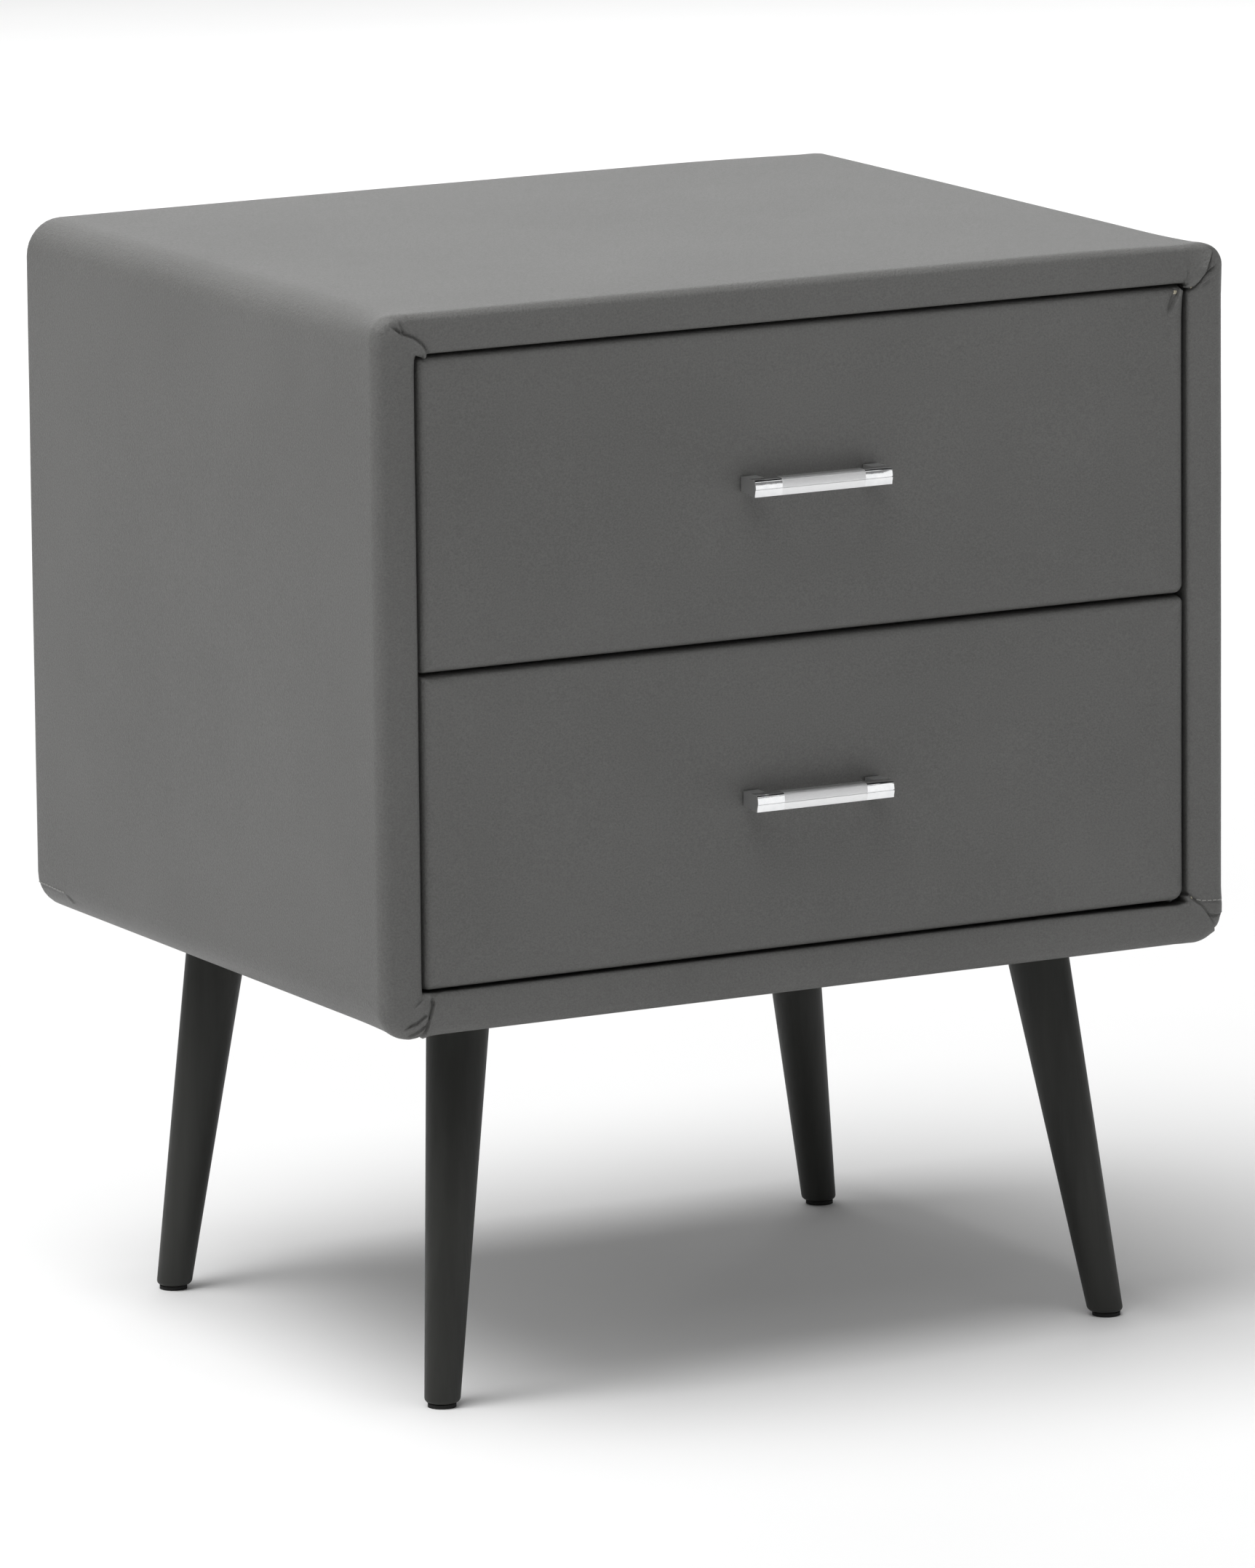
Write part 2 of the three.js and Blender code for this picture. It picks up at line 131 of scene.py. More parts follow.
# %% [markdown]
# ## Finishes
# A finish is a small network of nodes. Each one here starts from the place of a point
# on the object, feeds that to a few noise patterns, and uses them three ways: to vary
# the colour a little, to vary the gloss, and to lift the surface with a bump. Using
# the point's own place means that the pattern stays on the piece when a drawer opens.


# %% Helpers for finishes
class Finish:
    """A material whose nodes are added and joined one line at a time."""

    def __init__(self, name, **sockets):
        self.material = bpy.data.materials.new(name)
        self.material.use_nodes = True
        self.tree = self.material.node_tree
        self.shader = self.tree.nodes["Principled BSDF"]
        self.place = self.tree.nodes.new("ShaderNodeTexCoord").outputs["Object"]
        for label, value in sockets.items():
            self.shader.inputs[label.replace("_", " ")].default_value = value

    def node(self, kind, _settings=None, **inputs):
        made = self.tree.nodes.new("ShaderNode" + kind)
        for label, value in (_settings or {}).items():
            setattr(made, label, value)
        for label, value in inputs.items():
            socket = made.inputs[int(label[1:]) if label[0] == "i"
                                 and label[1:].isdigit() else label.replace("_", " ")]
            if isinstance(value, bpy.types.NodeSocket):
                self.tree.links.new(value, socket)
            else:
                socket.default_value = value
        return made

    def stretched(self, scale, turn=(0, 0, 0)):
        mapping = self.node("Mapping", Vector=self.place, Scale=scale, Rotation=turn)
        return mapping.outputs["Vector"]

    def noise(self, scale, detail=3.0, rough=0.5, place=None):
        made = self.node("TexNoise", Vector=place or self.place, Scale=scale, Detail=detail, Roughness=rough)
        return made.outputs["Fac"]

    def cells(self, scale, feature="F1", place=None):
        made = self.node("TexVoronoi", {"feature": feature}, Vector=place or self.place, Scale=scale)
        return made.outputs["Distance"]

    def spread(self, value, low, high, to_low=0.0, to_high=1.0):
        made = self.node("MapRange", Value=value)
        for label, number in zip(("From Min", "From Max", "To Min", "To Max"), (low, high, to_low, to_high)):
            made.inputs[label].default_value = number
        return made.outputs["Result"]

    def math(self, operation, first, second=0.0):
        return self.node("Math", {"operation": operation}, i0=first, i1=second).outputs[0]

    def colours(self, amount, dark, light):
        made = self.node("Mix", {"data_type": "RGBA"}, i0=amount)
        made.inputs[6].default_value = (*dark, 1)
        made.inputs[7].default_value = (*light, 1)
        return made.outputs[2]

    def join(self, value, label):
        self.tree.links.new(value, self.shader.inputs[label])

    def bump(self, height, strength, distance, under=None):
        made = self.node("Bump", Height=height, Strength=strength, Distance=distance)
        if under is not None:
            self.tree.links.new(under, made.inputs["Normal"])
        return made.outputs["Normal"]


# %% [markdown]
# ### Leather
# Coated leather has a fine pebble: small rounded cells with narrow valleys. A cell
# pattern gives the pebbles, which vary the gloss and lift the surface. The colour varies
# apart from them, with a fine speckle and the slow cloudiness that a stretched hide has.

# %% Leather
leather = Finish("soft_grey_leather", Roughness=0.46, IOR=1.5)
pebble = leather.cells(900, "SMOOTH_F1")
grain = leather.noise(1500, 2.0, 0.6)
cloud = leather.noise(9.0, 4.0, 0.55)
speckle = leather.noise(950.0, 3.0, 0.8)
tone = leather.math("ADD", leather.math("MULTIPLY", cloud, 0.2), leather.math("MULTIPLY", speckle, 0.8))
tint = leather.colours(leather.spread(tone, 0.38, 0.62), (0.094, 0.0938, 0.0904), (0.134, 0.1338, 0.1296))
leather.join(tint, "Base Color")
leather.join(leather.spread(leather.math("ADD", pebble, grain), 0.4, 1.4, 0.42, 0.52), "Roughness")
relief = leather.math("ADD", leather.math("MULTIPLY", pebble, -0.7), leather.math("MULTIPLY", grain, 0.5))
leather.join(leather.bump(relief, 0.6, 0.0004, leather.bump(speckle, 0.5, 0.0010)), "Normal")

thread = Finish("leather_thread", Roughness=0.6)
twist = thread.noise(2600, 2.0)
thread.join(thread.colours(twist, (0.20, 0.20, 0.19), (0.30, 0.30, 0.29)), "Base Color")
thread.join(thread.bump(twist, 0.4, 0.0002), "Normal")
print("leather nodes", len(leather.tree.nodes))

# %% [markdown]
# ### Wood, board and metal
# The legs are black satin lacquer with the grain just showing: noise stretched along
# the leg. The case boards are bare chipboard, and the drawer boards have a smooth grey
# foil. The zinc of the slides is a cold grey with faint crystals, and the plating of the
# handles is a mirror broken by a slight ripple.

# %% Wood and board finishes
lacquer = Finish("black_lacquered_wood", Roughness=0.5, IOR=1.5, Specular_IOR_Level=0.35)
pores = lacquer.noise(60, 4.0, 0.65, lacquer.stretched((14, 14, 0.9)))
rings = lacquer.noise(9, 2.0, 0.5, lacquer.stretched((9, 9, 0.5)))
lacquer_tint = lacquer.colours(lacquer.spread(rings, 0.3, 0.7), (0.0155, 0.016, 0.0140),
                               (0.0265, 0.027, 0.0240))
lacquer.join(lacquer_tint, "Base Color")
lacquer.join(lacquer.spread(pores, 0.35, 0.65, 0.46, 0.58), "Roughness")
lacquer.join(lacquer.bump(pores, 0.12, 0.0003), "Normal")

carcass_foil = Finish("carcass_board_foil", Roughness=0.55)
chips = carcass_foil.cells(420, "F1")
carcass_foil_tint = carcass_foil.colours(carcass_foil.spread(chips, 0.1, 0.9), (0.20, 0.165, 0.12),
                                         (0.33, 0.275, 0.205))
carcass_foil.join(carcass_foil_tint, "Base Color")
carcass_foil.join(carcass_foil.spread(chips, 0, 1, 0.55, 0.8), "Roughness")
carcass_foil.join(carcass_foil.bump(chips, 0.3, 0.0004), "Normal")

drawer_foil = Finish("drawer_board_foil", Roughness=0.5)
fibres = drawer_foil.noise(70, 5.0, 0.6, drawer_foil.stretched((14, 0.8, 14)))
drawer_foil_tint = drawer_foil.colours(drawer_foil.spread(fibres, 0.35, 0.65), (0.060, 0.060, 0.058),
                                       (0.088, 0.088, 0.085))
drawer_foil.join(drawer_foil_tint, "Base Color")
drawer_foil.join(drawer_foil.spread(fibres, 0.3, 0.7, 0.44, 0.56), "Roughness")
drawer_foil.join(drawer_foil.bump(fibres, 0.15, 0.0003), "Normal")

hardboard = Finish("hardboard_back", Roughness=0.75)
mat_fibres = hardboard.noise(700, 5.0, 0.7)
mottle = hardboard.noise(35, 3.0, 0.5)
hardboard_tint = hardboard.colours(hardboard.spread(mottle, 0.35, 0.65), (0.018, 0.017, 0.016),
                                   (0.030, 0.028, 0.026))
hardboard.join(hardboard_tint, "Base Color")
hardboard.join(hardboard.spread(mat_fibres, 0.3, 0.7, 0.66, 0.84), "Roughness")
hardboard.join(hardboard.bump(mat_fibres, 0.3, 0.0004), "Normal")

foam = Finish("cream_foam", Roughness=0.95)
pinholes = foam.cells(900, "F1")
foam.join(foam.colours(foam.spread(pinholes, 0.0, 0.7), (0.40, 0.36, 0.26), (0.66, 0.61, 0.48)), "Base Color")
foam.join(foam.bump(pinholes, 0.6, 0.0006), "Normal")

felt = Finish("black_felt", Roughness=0.95)
fuzz = felt.noise(2200, 3.0, 0.7)
felt.join(felt.colours(fuzz, (0.008, 0.008, 0.008), (0.022, 0.022, 0.021)), "Base Color")
felt.join(felt.bump(fuzz, 0.6, 0.0004), "Normal")

# %% Metal finishes
plating = Finish("bright_plating", Metallic=1.0, Roughness=0.07)
ripple = plating.noise(260, 2.0, 0.5)
plating_tint = plating.colours(plating.spread(ripple, 0.3, 0.7), (0.80, 0.81, 0.82), (0.88, 0.885, 0.89))
plating.join(plating_tint, "Base Color")
plating.join(plating.spread(ripple, 0.2, 0.8, 0.05, 0.10), "Roughness")
plating.join(plating.bump(ripple, 0.05, 0.0004), "Normal")

satin = Finish("satin_plating", Metallic=1.0, Roughness=0.3)
brush = satin.noise(240, 4.0, 0.7, satin.stretched((1.4, 26, 26)))
satin_tint = satin.colours(satin.spread(brush, 0.3, 0.7), (0.74, 0.745, 0.75), (0.86, 0.86, 0.865))
satin.join(satin_tint, "Base Color")
satin.join(satin.spread(brush, 0.3, 0.7, 0.30, 0.40), "Roughness")
satin.join(satin.bump(brush, 0.25, 0.0002), "Normal")

zinc = Finish("zinc_plated_steel", Metallic=1.0, Roughness=0.34)
crystals = zinc.cells(160, "F1")
smear = zinc.noise(45, 3.0, 0.6)
zinc.join(zinc.colours(zinc.spread(smear, 0.3, 0.7), (0.52, 0.53, 0.55), (0.66, 0.67, 0.68)), "Base Color")
zinc.join(zinc.spread(crystals, 0, 0.8, 0.26, 0.42), "Roughness")
zinc.join(zinc.bump(smear, 0.2, 0.0003), "Normal")

pale_floor = Finish("pale_floor", Roughness=0.9)
dust = pale_floor.noise(3.0, 3.0)
pale_floor.join(pale_floor.colours(dust, (0.82, 0.82, 0.82), (0.86, 0.86, 0.86)), "Base Color")
floor.data.materials.append(pale_floor.material)

flag_cloth = Finish("flag_cloth", Roughness=1.0)
weft = flag_cloth.noise(400, 2.0)
flag_cloth.join(flag_cloth.colours(weft, (0.002, 0.002, 0.002), (0.004, 0.004, 0.004)), "Base Color")
flag.data.materials.append(flag_cloth.material)

# %% [markdown]
# ### Dress the frame
# A word in the name of each piece of the frame decides its finish. One loop gives each
# its material, which leaves only the shapes that need more than a finish.

# %% Give the frame its finishes
def finish_for(name):
    """The finish that a piece of the frame takes, from its name."""
    rules = [
        ("leather", leather), ("foam", foam), ("front_board", drawer_foil), ("_box_", drawer_foil),
        ("board_", carcass_foil), ("back_panel", hardboard), ("screw", zinc), ("handle", plating),
        ("slide", zinc), ("bolt", zinc), ("plate", zinc), ("glide", felt), ("leg_", lacquer),
    ]
    return next(finish for word, finish in rules if word in name)


for name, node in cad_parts.items():
    node.data.materials.clear()
    node.data.materials.append(finish_for(name).material)
print("dressed", len(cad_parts), "pieces of the frame")

# %% [markdown]
# ## Building a leather skin
# A leather skin is a sheet wrapped round a board. It is easiest to describe as a grid:
# one direction runs round the outline, and the other runs over the edge profile, from
# the turned-under back, round the edge and across the front. The corners get finer
# steps, because that is where leather folds. The next cells give the shared helpers.


# %% Outlines
def even_steps(length, fine, reach, coarse, group=3):
    """Fractions from 0 up to 1 along a side, in fine steps at both ends."""
    ends = [fine] * int(round(reach / fine))
    count = max(group, group * int(round((length - 2 * reach) / coarse / group)))
    steps = ends + [(length - 2 * sum(ends)) / count] * count + ends
    return np.concatenate([[0], np.cumsum(steps)])[:-1] / length


def rounded_outline(left, right, low, high, radii, across, up, turn_steps):
    """Points round a rectangle, anticlockwise from its lower right corner, with a radius for each corner."""
    points = []
    signs = [(right, low, -1, 1), (right, high, -1, -1), (left, high, 1, -1), (left, low, 1, 1)]
    centres = [np.array((cx + sx * r, cz + sz * r)) for (cx, cz, sx, sz), r in zip(signs, radii)]
    for k in range(4):
        for i in range(turn_steps):
            angle = math.radians(-90 + 90 * k + 90 * i / turn_steps)
            points.append(centres[k] + radii[k] * np.array((math.cos(angle), math.sin(angle))))
        way = np.array((math.cos(math.radians(90 * k)), math.sin(math.radians(90 * k))))
        start, end = centres[k] + radii[k] * way, centres[(k + 1) % 4] + radii[(k + 1) % 4] * way
        points += [start + (end - start) * f for f in (up if k % 2 == 0 else across)]
    return np.array(points)


def make_piece(name, points, faces):
    """A new mesh object from points in metres and lists of corners."""
    mesh = bpy.data.meshes.new(name)
    mesh.from_pydata([tuple(p) for p in points], [], faces)
    mesh.update()
    piece = bpy.data.objects.new(name, mesh)
    scene.collection.objects.link(piece)
    return piece


def places(piece):
    """The points of a piece as one array."""
    out = np.empty(len(piece.data.vertices) * 3)
    piece.data.vertices.foreach_get("co", out)
    return out.reshape(-1, 3)


def outward(piece):
    """The outward direction at every point of a piece."""
    out = np.empty(len(piece.data.vertices) * 3)
    piece.data.vertex_normals.foreach_get("vector", out)
    return out.reshape(-1, 3)


def move_points(piece, new):
    """Puts the points of a piece in new places."""
    piece.data.vertices.foreach_set("co", np.ascontiguousarray(new, dtype=float).ravel())
    piece.data.update()


def close_sheet(piece, inner):
    """Makes a closed shell of a sheet: its own points outside, these points inside, and a rim between."""
    outer, count = places(piece), len(piece.data.vertices)
    faces = [tuple(face.vertices) for face in piece.data.polygons]
    border = {}
    for face in faces:
        for a, b in zip(face, face[1:] + face[:1]):
            border[(a, b)] = (b, a) not in border
            if not border[(a, b)]:
                border[(b, a)] = False
    rim = [(b, a, a + count, b + count) for (a, b), free in border.items() if free]
    inside = [tuple(i + count for i in reversed(face)) for face in faces]
    mesh = bpy.data.meshes.new(piece.name)
    mesh.from_pydata([tuple(p) for p in np.vstack([outer, inner])], [], faces + inside + rim)
    mesh.update()
    piece.data = mesh


# %% [markdown]
# ### Creases and pleats
# Where a sheet turns a corner there is too much of it, so it is folded over itself. A
# fold reads as a raised lip on one side of a line and a narrow trough on the other.
# The helper takes the line, the height of the lip and the depth of the trough, and
# gives the lift at every point. A soft wave in the sheet is the same idea without a step.


# %% Crease helper
def line_distance(across, up, line):
    """For each point: its signed distance to a bent line, and how far along the line it is, 0 to 1."""
    line = np.array(line, float)
    lengths = np.hypot(*(line[1:] - line[:-1]).T)
    best = np.full(len(across), 1e9)
    side, along = np.zeros(len(across)), np.zeros(len(across))
    done = 0.0
    for a, b, length in zip(line[:-1], line[1:], lengths):
        way = (b - a) / length
        dx, dz = across - a[0], up - a[1]
        t = np.clip(dx * way[0] + dz * way[1], 0, length)
        gap = np.hypot(dx - t * way[0], dz - t * way[1])
        nearer = gap < best
        best = np.where(nearer, gap, best)
        cross = way[0] * dz - way[1] * dx
        side = np.where(nearer, np.sign(cross), side)
        along = np.where(nearer, (done + t) / lengths.sum(), along)
        done += length
    return best * side, along


def fold(across, up, line, lip, trough, lip_width=2.0, trough_width=1.3, swell=0.0, fade=(0.15, 0.15),
         sharp=0.3):
    """The lift, in mm, of a fold along a line. The lip is on the line's left."""
    gap, along = line_distance(across, up, line)
    window = np.clip(along / max(fade[0], 1e-3), 0, 1) * np.clip((1 - along) / max(fade[1], 1e-3), 0, 1)
    window = window * window * (3 - 2 * window)
    step = 0.5 + 0.5 * np.tanh((gap - 0.25) / sharp)
    over, under = np.clip(gap, 0, None), np.clip(-gap, 0, None)
    lifted = (lip * np.exp(-over / lip_width) + swell * np.exp(-((over / 6.0) ** 2))) * step
    sunk = -trough * np.exp(-((under / trough_width) ** 1.5)) * (1 - step)
    return window * (lifted + sunk)


def near_lines(points, folds, reach):
    """Which points lie within reach of any fold line."""
    close = np.zeros(len(points), bool)
    for item in folds:
        close |= np.abs(line_distance(points[:, 0], points[:, 1], item["line"])[0]) < reach
    return close


def slow_noise(points, scale, seed):
    """A smooth random value from about -1 to 1 for each point."""
    shift = Vector((seed * 7.31, seed * 3.17, seed * 5.77))
    return np.array([noise.noise(Vector(p) * scale + shift) for p in points])


# %% [markdown]
# ## Working on a piece by hand
# The hard fittings are made the way a modeller makes them: a primitive at its size and
# place, then edges cut, faces extruded and corners bevelled in edit mode. An operator
# works on what is selected, so the helper below first clears the selection and then
# picks faces or edges by a test on where they are.


# %% Edit helpers
def use(piece):
    """Selects one piece and nothing else."""
    if bpy.context.object is not None and bpy.context.object.mode != "OBJECT":
        bpy.ops.object.mode_set(mode="OBJECT")
    bpy.ops.object.select_all(action="DESELECT")
    piece.select_set(True)
    bpy.context.view_layer.objects.active = piece


def box_piece(name, low, high):
    """A box between two corners, in millimetres, with its place in its mesh."""
    bpy.ops.object.select_all(action="DESELECT")
    low, high = Vector(low) * MM, Vector(high) * MM
    bpy.ops.mesh.primitive_cube_add(size=1, location=(low + high) / 2)
    piece = bpy.context.object
    piece.name = piece.data.name = name
    piece.scale = high - low
    bpy.ops.object.transform_apply(location=True, rotation=True, scale=True)
    return piece


def settle(piece):
    """Puts a piece's place, turn and size into its mesh."""
    use(piece)
    bpy.ops.object.transform_apply(location=True, rotation=True, scale=True)


def pick(piece, test, kind="FACE"):
    """Opens a piece for editing with only the faces or edges that pass the test selected."""
    if bpy.context.object is not piece or piece.mode != "EDIT":
        use(piece)
        bpy.ops.object.mode_set(mode="EDIT")
    bpy.ops.mesh.select_mode(type=kind)
    bpy.ops.mesh.select_all(action="DESELECT")
    sheet = bmesh.from_edit_mesh(piece.data)
    found = 0
    for part in sheet.faces if kind == "FACE" else sheet.edges:
        if test(part):
            part.select_set(True)
            found += 1
    sheet.select_flush_mode()
    bmesh.update_edit_mesh(piece.data)
    return found


def done(piece):
    """Leaves edit mode."""
    bpy.ops.object.mode_set(mode="OBJECT")
    return piece


def centre(part):
    """The middle of a face or an edge, in millimetres."""
    if isinstance(part, bmesh.types.BMFace):
        return part.calc_center_median() / MM
    return (part.verts[0].co + part.verts[1].co) / 2 / MM


def sharp_edges(degrees):
    """A test for edges whose two faces meet at more than this angle."""
    limit = math.radians(degrees)
    return lambda edge: len(edge.link_faces) == 2 and edge.calc_face_angle() > limit


def cut(piece, place, way, **options):
    """Cuts all of a piece with a plane."""
    pick(piece, lambda face: True)
    bpy.ops.mesh.bisect(plane_co=Vector(place) * MM, plane_no=way, **options)


def copy_of(piece, name, matrix):
    """A copy with its own mesh, moved by a matrix."""
    twin = piece.copy()
    twin.data = piece.data.copy()
    twin.name = twin.data.name = name
    twin.data.transform(matrix)
    if matrix.determinant() < 0:
        twin.data.flip_normals()
    scene.collection.objects.link(twin)
    return twin


# %% [markdown]
# ## The case cover
# One leather cover goes round all four walls of the case. At the front it turns over
# the edge, across the front strip and into the opening. At the back it turns onto the
# rear edge. The side run needs only wide steps, so the rows behind the front edge use
# every third point, and one row of wider faces joins the fine part to the coarse part.

# %% Cover profile
DEPTH = (cover_high.y - cover_low.y) / MM
WIDE, LOW, HIGH = cover_high.x / MM, cover_low.z / MM, cover_high.z / MM
WALL, WALL_TOP = 22.0, 20.0
OUT_CORNER, IN_CORNER = 20.0, 1.5
FRONT_CORNERS = (18.0, 12.5, 10.5, 16.0)
EDGE, TOP_EDGE, LIP = 7.0, 3.8, 2.6
LINING, BULGE = 20.0, 0.75
UP = even_steps(HIGH - LOW - 2 * OUT_CORNER, 0.8, 24, 4.0)
ACROSS = even_steps(2 * (WIDE - OUT_CORNER), 0.8, 24, 4.0)
TURN = 24


def arc(steps):
    return [math.radians(90 * i / steps) for i in range(1, steps + 1)]


coarse_rows = [(WALL, DEPTH), (16.0, DEPTH), (11.0, DEPTH), (EDGE, DEPTH)]
coarse_rows += [(EDGE - EDGE * math.sin(a), DEPTH - EDGE + EDGE * math.cos(a)) for a in arc(6)]
run = DEPTH - EDGE - 18.0
coarse_rows += [(0.0, DEPTH - EDGE - run * i / 32) for i in range(1, 33)]
fine_rows = [(0.0, 18.0 - 1.6 * i) for i in range(1, 7)] + [(0.0, EDGE)]
fine_rows += [(EDGE - EDGE * math.cos(a), EDGE - EDGE * math.sin(a)) for a in arc(9)]
strip = WALL - LIP - EDGE
fine_rows += [(EDGE + strip * i / 16, -0.55 * math.sin(math.pi * i / 16)) for i in range(1, 17)]
fine_rows += [(WALL - LIP + (LIP + BULGE) * math.sin(a), LIP - LIP * math.cos(a)) for a in arc(6)]
fine_rows += [(WALL + BULGE * (1 - i / 4), LIP + (LINING - LIP) * i / 4) for i in range(1, 5)]
print("cover rows", len(coarse_rows), "coarse and", len(fine_rows), "fine")


# %% Cover mesh
def cover_ring(inset, depth):
    """One ring of the cover, set in from the outside by a share of the wall."""
    t = inset / WALL
    near = max(0.0, 1 - depth / 60) ** 2
    outer = [OUT_CORNER + (front - OUT_CORNER) * near for front in FRONT_CORNERS]
    radii = [r + (IN_CORNER - r) * min(t, 1) for r in outer]
    side = inset
    top = np.interp(inset, (0, EDGE, WALL, 30), (0, TOP_EDGE, WALL_TOP, WALL_TOP + 8))
    flat = rounded_outline(-WIDE + side, WIDE - side, LOW + side, HIGH - top, radii, ACROSS, UP, TURN)
    return np.column_stack([flat[:, 0], np.full(len(flat), FRONT / MM + depth), flat[:, 1]]) * MM


def quad_rows(first, second, count):
    """Faces between two closed rows of the same number of points."""
    return [(first + i, first + (i + 1) % count, second + (i + 1) % count, second + i) for i in range(count)]


def build_cover():
    fine_count = 4 * TURN + 2 * (len(UP) + len(ACROSS))
    rows, starts, faces, total = [], [], [], 0
    for inset, depth in coarse_rows:
        rows.append(cover_ring(inset, depth)[::3])
        starts.append(total)
        total += len(rows[-1])
    coarse_count = len(rows[-1])
    for a, b in zip(starts[:-1], starts[1:]):
        faces += quad_rows(a, b, coarse_count)
    fine_starts = []
    for inset, depth in fine_rows:
        rows.append(cover_ring(inset, depth))
        fine_starts.append(total)
        total += fine_count
    last, first = starts[-1], fine_starts[0]
    for i in range(coarse_count):
        fine = [first + (3 * i + k) % fine_count for k in range(4)]
        faces.append((last + i, last + (i + 1) % coarse_count, *reversed(fine)))
    for a, b in zip(fine_starts[:-1], fine_starts[1:]):
        faces += quad_rows(a, b, fine_count)
    return make_piece("case_cover", np.vstack(rows), faces)


cover = build_cover()
print("cover points", len(cover.data.vertices), "faces", len(cover.data.polygons))

# %% [markdown]
# ### Folds at the four front corners
# Each front corner is folded a little differently, as hand work is. The lines below
# are given in millimetres across from the middle and up from the floor. The lip of a
# fold lies on the left of its line, going from its first point to its last. The deepest
# folds are deeper than the sheet is thick, so there its outside can pass its inside.

# %% Cover relief
COVER_FOLDS = [
    # top left: the side strip laps over the end of the top strip in an S
    dict(line=[(-220.6, 556.2), (-221.4, 558.6), (-223.9, 561.9),
               (-228.8, 565.4), (-236.1, 568.0), (-242.0, 572.6)],
         lip=0.9, trough=1.7, swell=0.6, fade=(0.02, 0.2)),
    dict(line=[(-234.6, 567.6), (-236.8, 574.6)], lip=0.45, trough=1.2, fade=(0.1, 0.35)),
    dict(line=[(-227.0, 556.4), (-223.4, 555.4)], lip=0.4, trough=1.0, fade=(0.4, 0.1)),
    # top right: a fan of pleats
    dict(line=[(235.6, 560.0), (238.0, 566.0), (241.4, 572.6)],
         lip=1.3, trough=2.4, swell=0.9, trough_width=1.1, sharp=0.25, fade=(0.3, 0.12)),
    dict(line=[(226.6, 553.0), (230.4, 554.4), (233.2, 556.8),
               (235.6, 560.0), (239.4, 563.0), (244.6, 566.0)],
         lip=1.2, trough=2.4, swell=1.0, trough_width=1.1, sharp=0.25, fade=(0.02, 0.2)),
    dict(line=[(232.5, 553.6), (244.0, 560.0)], lip=0.4, trough=0.6, trough_width=1.4, fade=(0.4, 0.4)),
    dict(line=[(225.6, 557.6), (227.4, 565.0)], lip=0.4, trough=0.8, trough_width=1.2, fade=(0.15, 0.5)),
    # bottom left: the end of the bottom strip lies over creases that sweep away to the left
    dict(line=[(-222.4, 225.0), (-221.3, 221.4), (-222.6, 217.4), (-224.6, 212.0), (-226.8, 203.6)],
         lip=0.95, trough=1.8, swell=0.5, trough_width=1.1, fade=(0.02, 0.05)),
    dict(line=[(-226.0, 224.8), (-233.4, 220.2)], lip=0.5, trough=0.8, trough_width=1.3, fade=(0.2, 0.4)),
    dict(line=[(-224.8, 216.2), (-231.0, 212.2), (-240.0, 209.6)],
         lip=0.7, trough=1.4, swell=0.4, trough_width=1.2, fade=(0.08, 0.4)),
    dict(line=[(-225.6, 210.8), (-231.6, 207.2), (-237.0, 205.2)],
         lip=0.7, trough=1.4, trough_width=1.1, fade=(0.08, 0.3)),
    # bottom right: a mitre, with a stitched end beside it
    dict(line=[(245.0, 209.5), (238.6, 219.4), (235.0, 224.4), (230.2, 228.1), (225.7, 231.3)],
         lip=0.6, trough=1.1, swell=0.3, fade=(0.05, 0.03)),
    dict(line=[(232.5, 226.2), (225.7, 231.3)], lip=0.4, trough=0.9, fade=(0.3, 0.03)),
    dict(line=[(238.4, 219.6), (248.8, 218.4)], lip=0.6, trough=1.4, fade=(0.1, 0.05)),
    dict(line=[(231.5, 227.6), (249.8, 225.6)], lip=0.15, trough=0.4, fade=(0.1, 0.1)),
]
SIDE_FOLDS = [
    dict(line=[(367.9, 216.9), (362.2, 213.0)], lip=0.4, trough=0.8, fade=(0.1, 0.2)),
    dict(line=[(369.0, 217.0), (402.0, 218.0)], lip=0.12, trough=0.3, fade=(0.05, 0.05)),
]
BEADS = [((-221.6, 556.8), 1.3, 1.3), ((-223.0, 224.6), 1.2, 1.3)]


def refine_folds(piece, folds, flat, reach, cuts):
    """Divides the faces beside the fold lines, so that a narrow trough has points to stand on."""
    middles = np.array([face.center for face in piece.data.polygons]) / MM
    middles[:, 1] -= FRONT / MM
    wanted = near_lines(middles[:, flat], folds, reach)
    wanted &= (middles[:, 1] < 6) if flat == [0, 2] else (np.abs(middles[:, 0]) > WIDE - 12)
    pick(piece, lambda face: wanted[face.index])
    bpy.ops.mesh.subdivide(number_cuts=cuts, quadcorner="INNERVERT")
    bpy.ops.object.mode_set(mode="OBJECT")
    print(piece.name, "divided", int(wanted.sum()), "faces beside its folds")


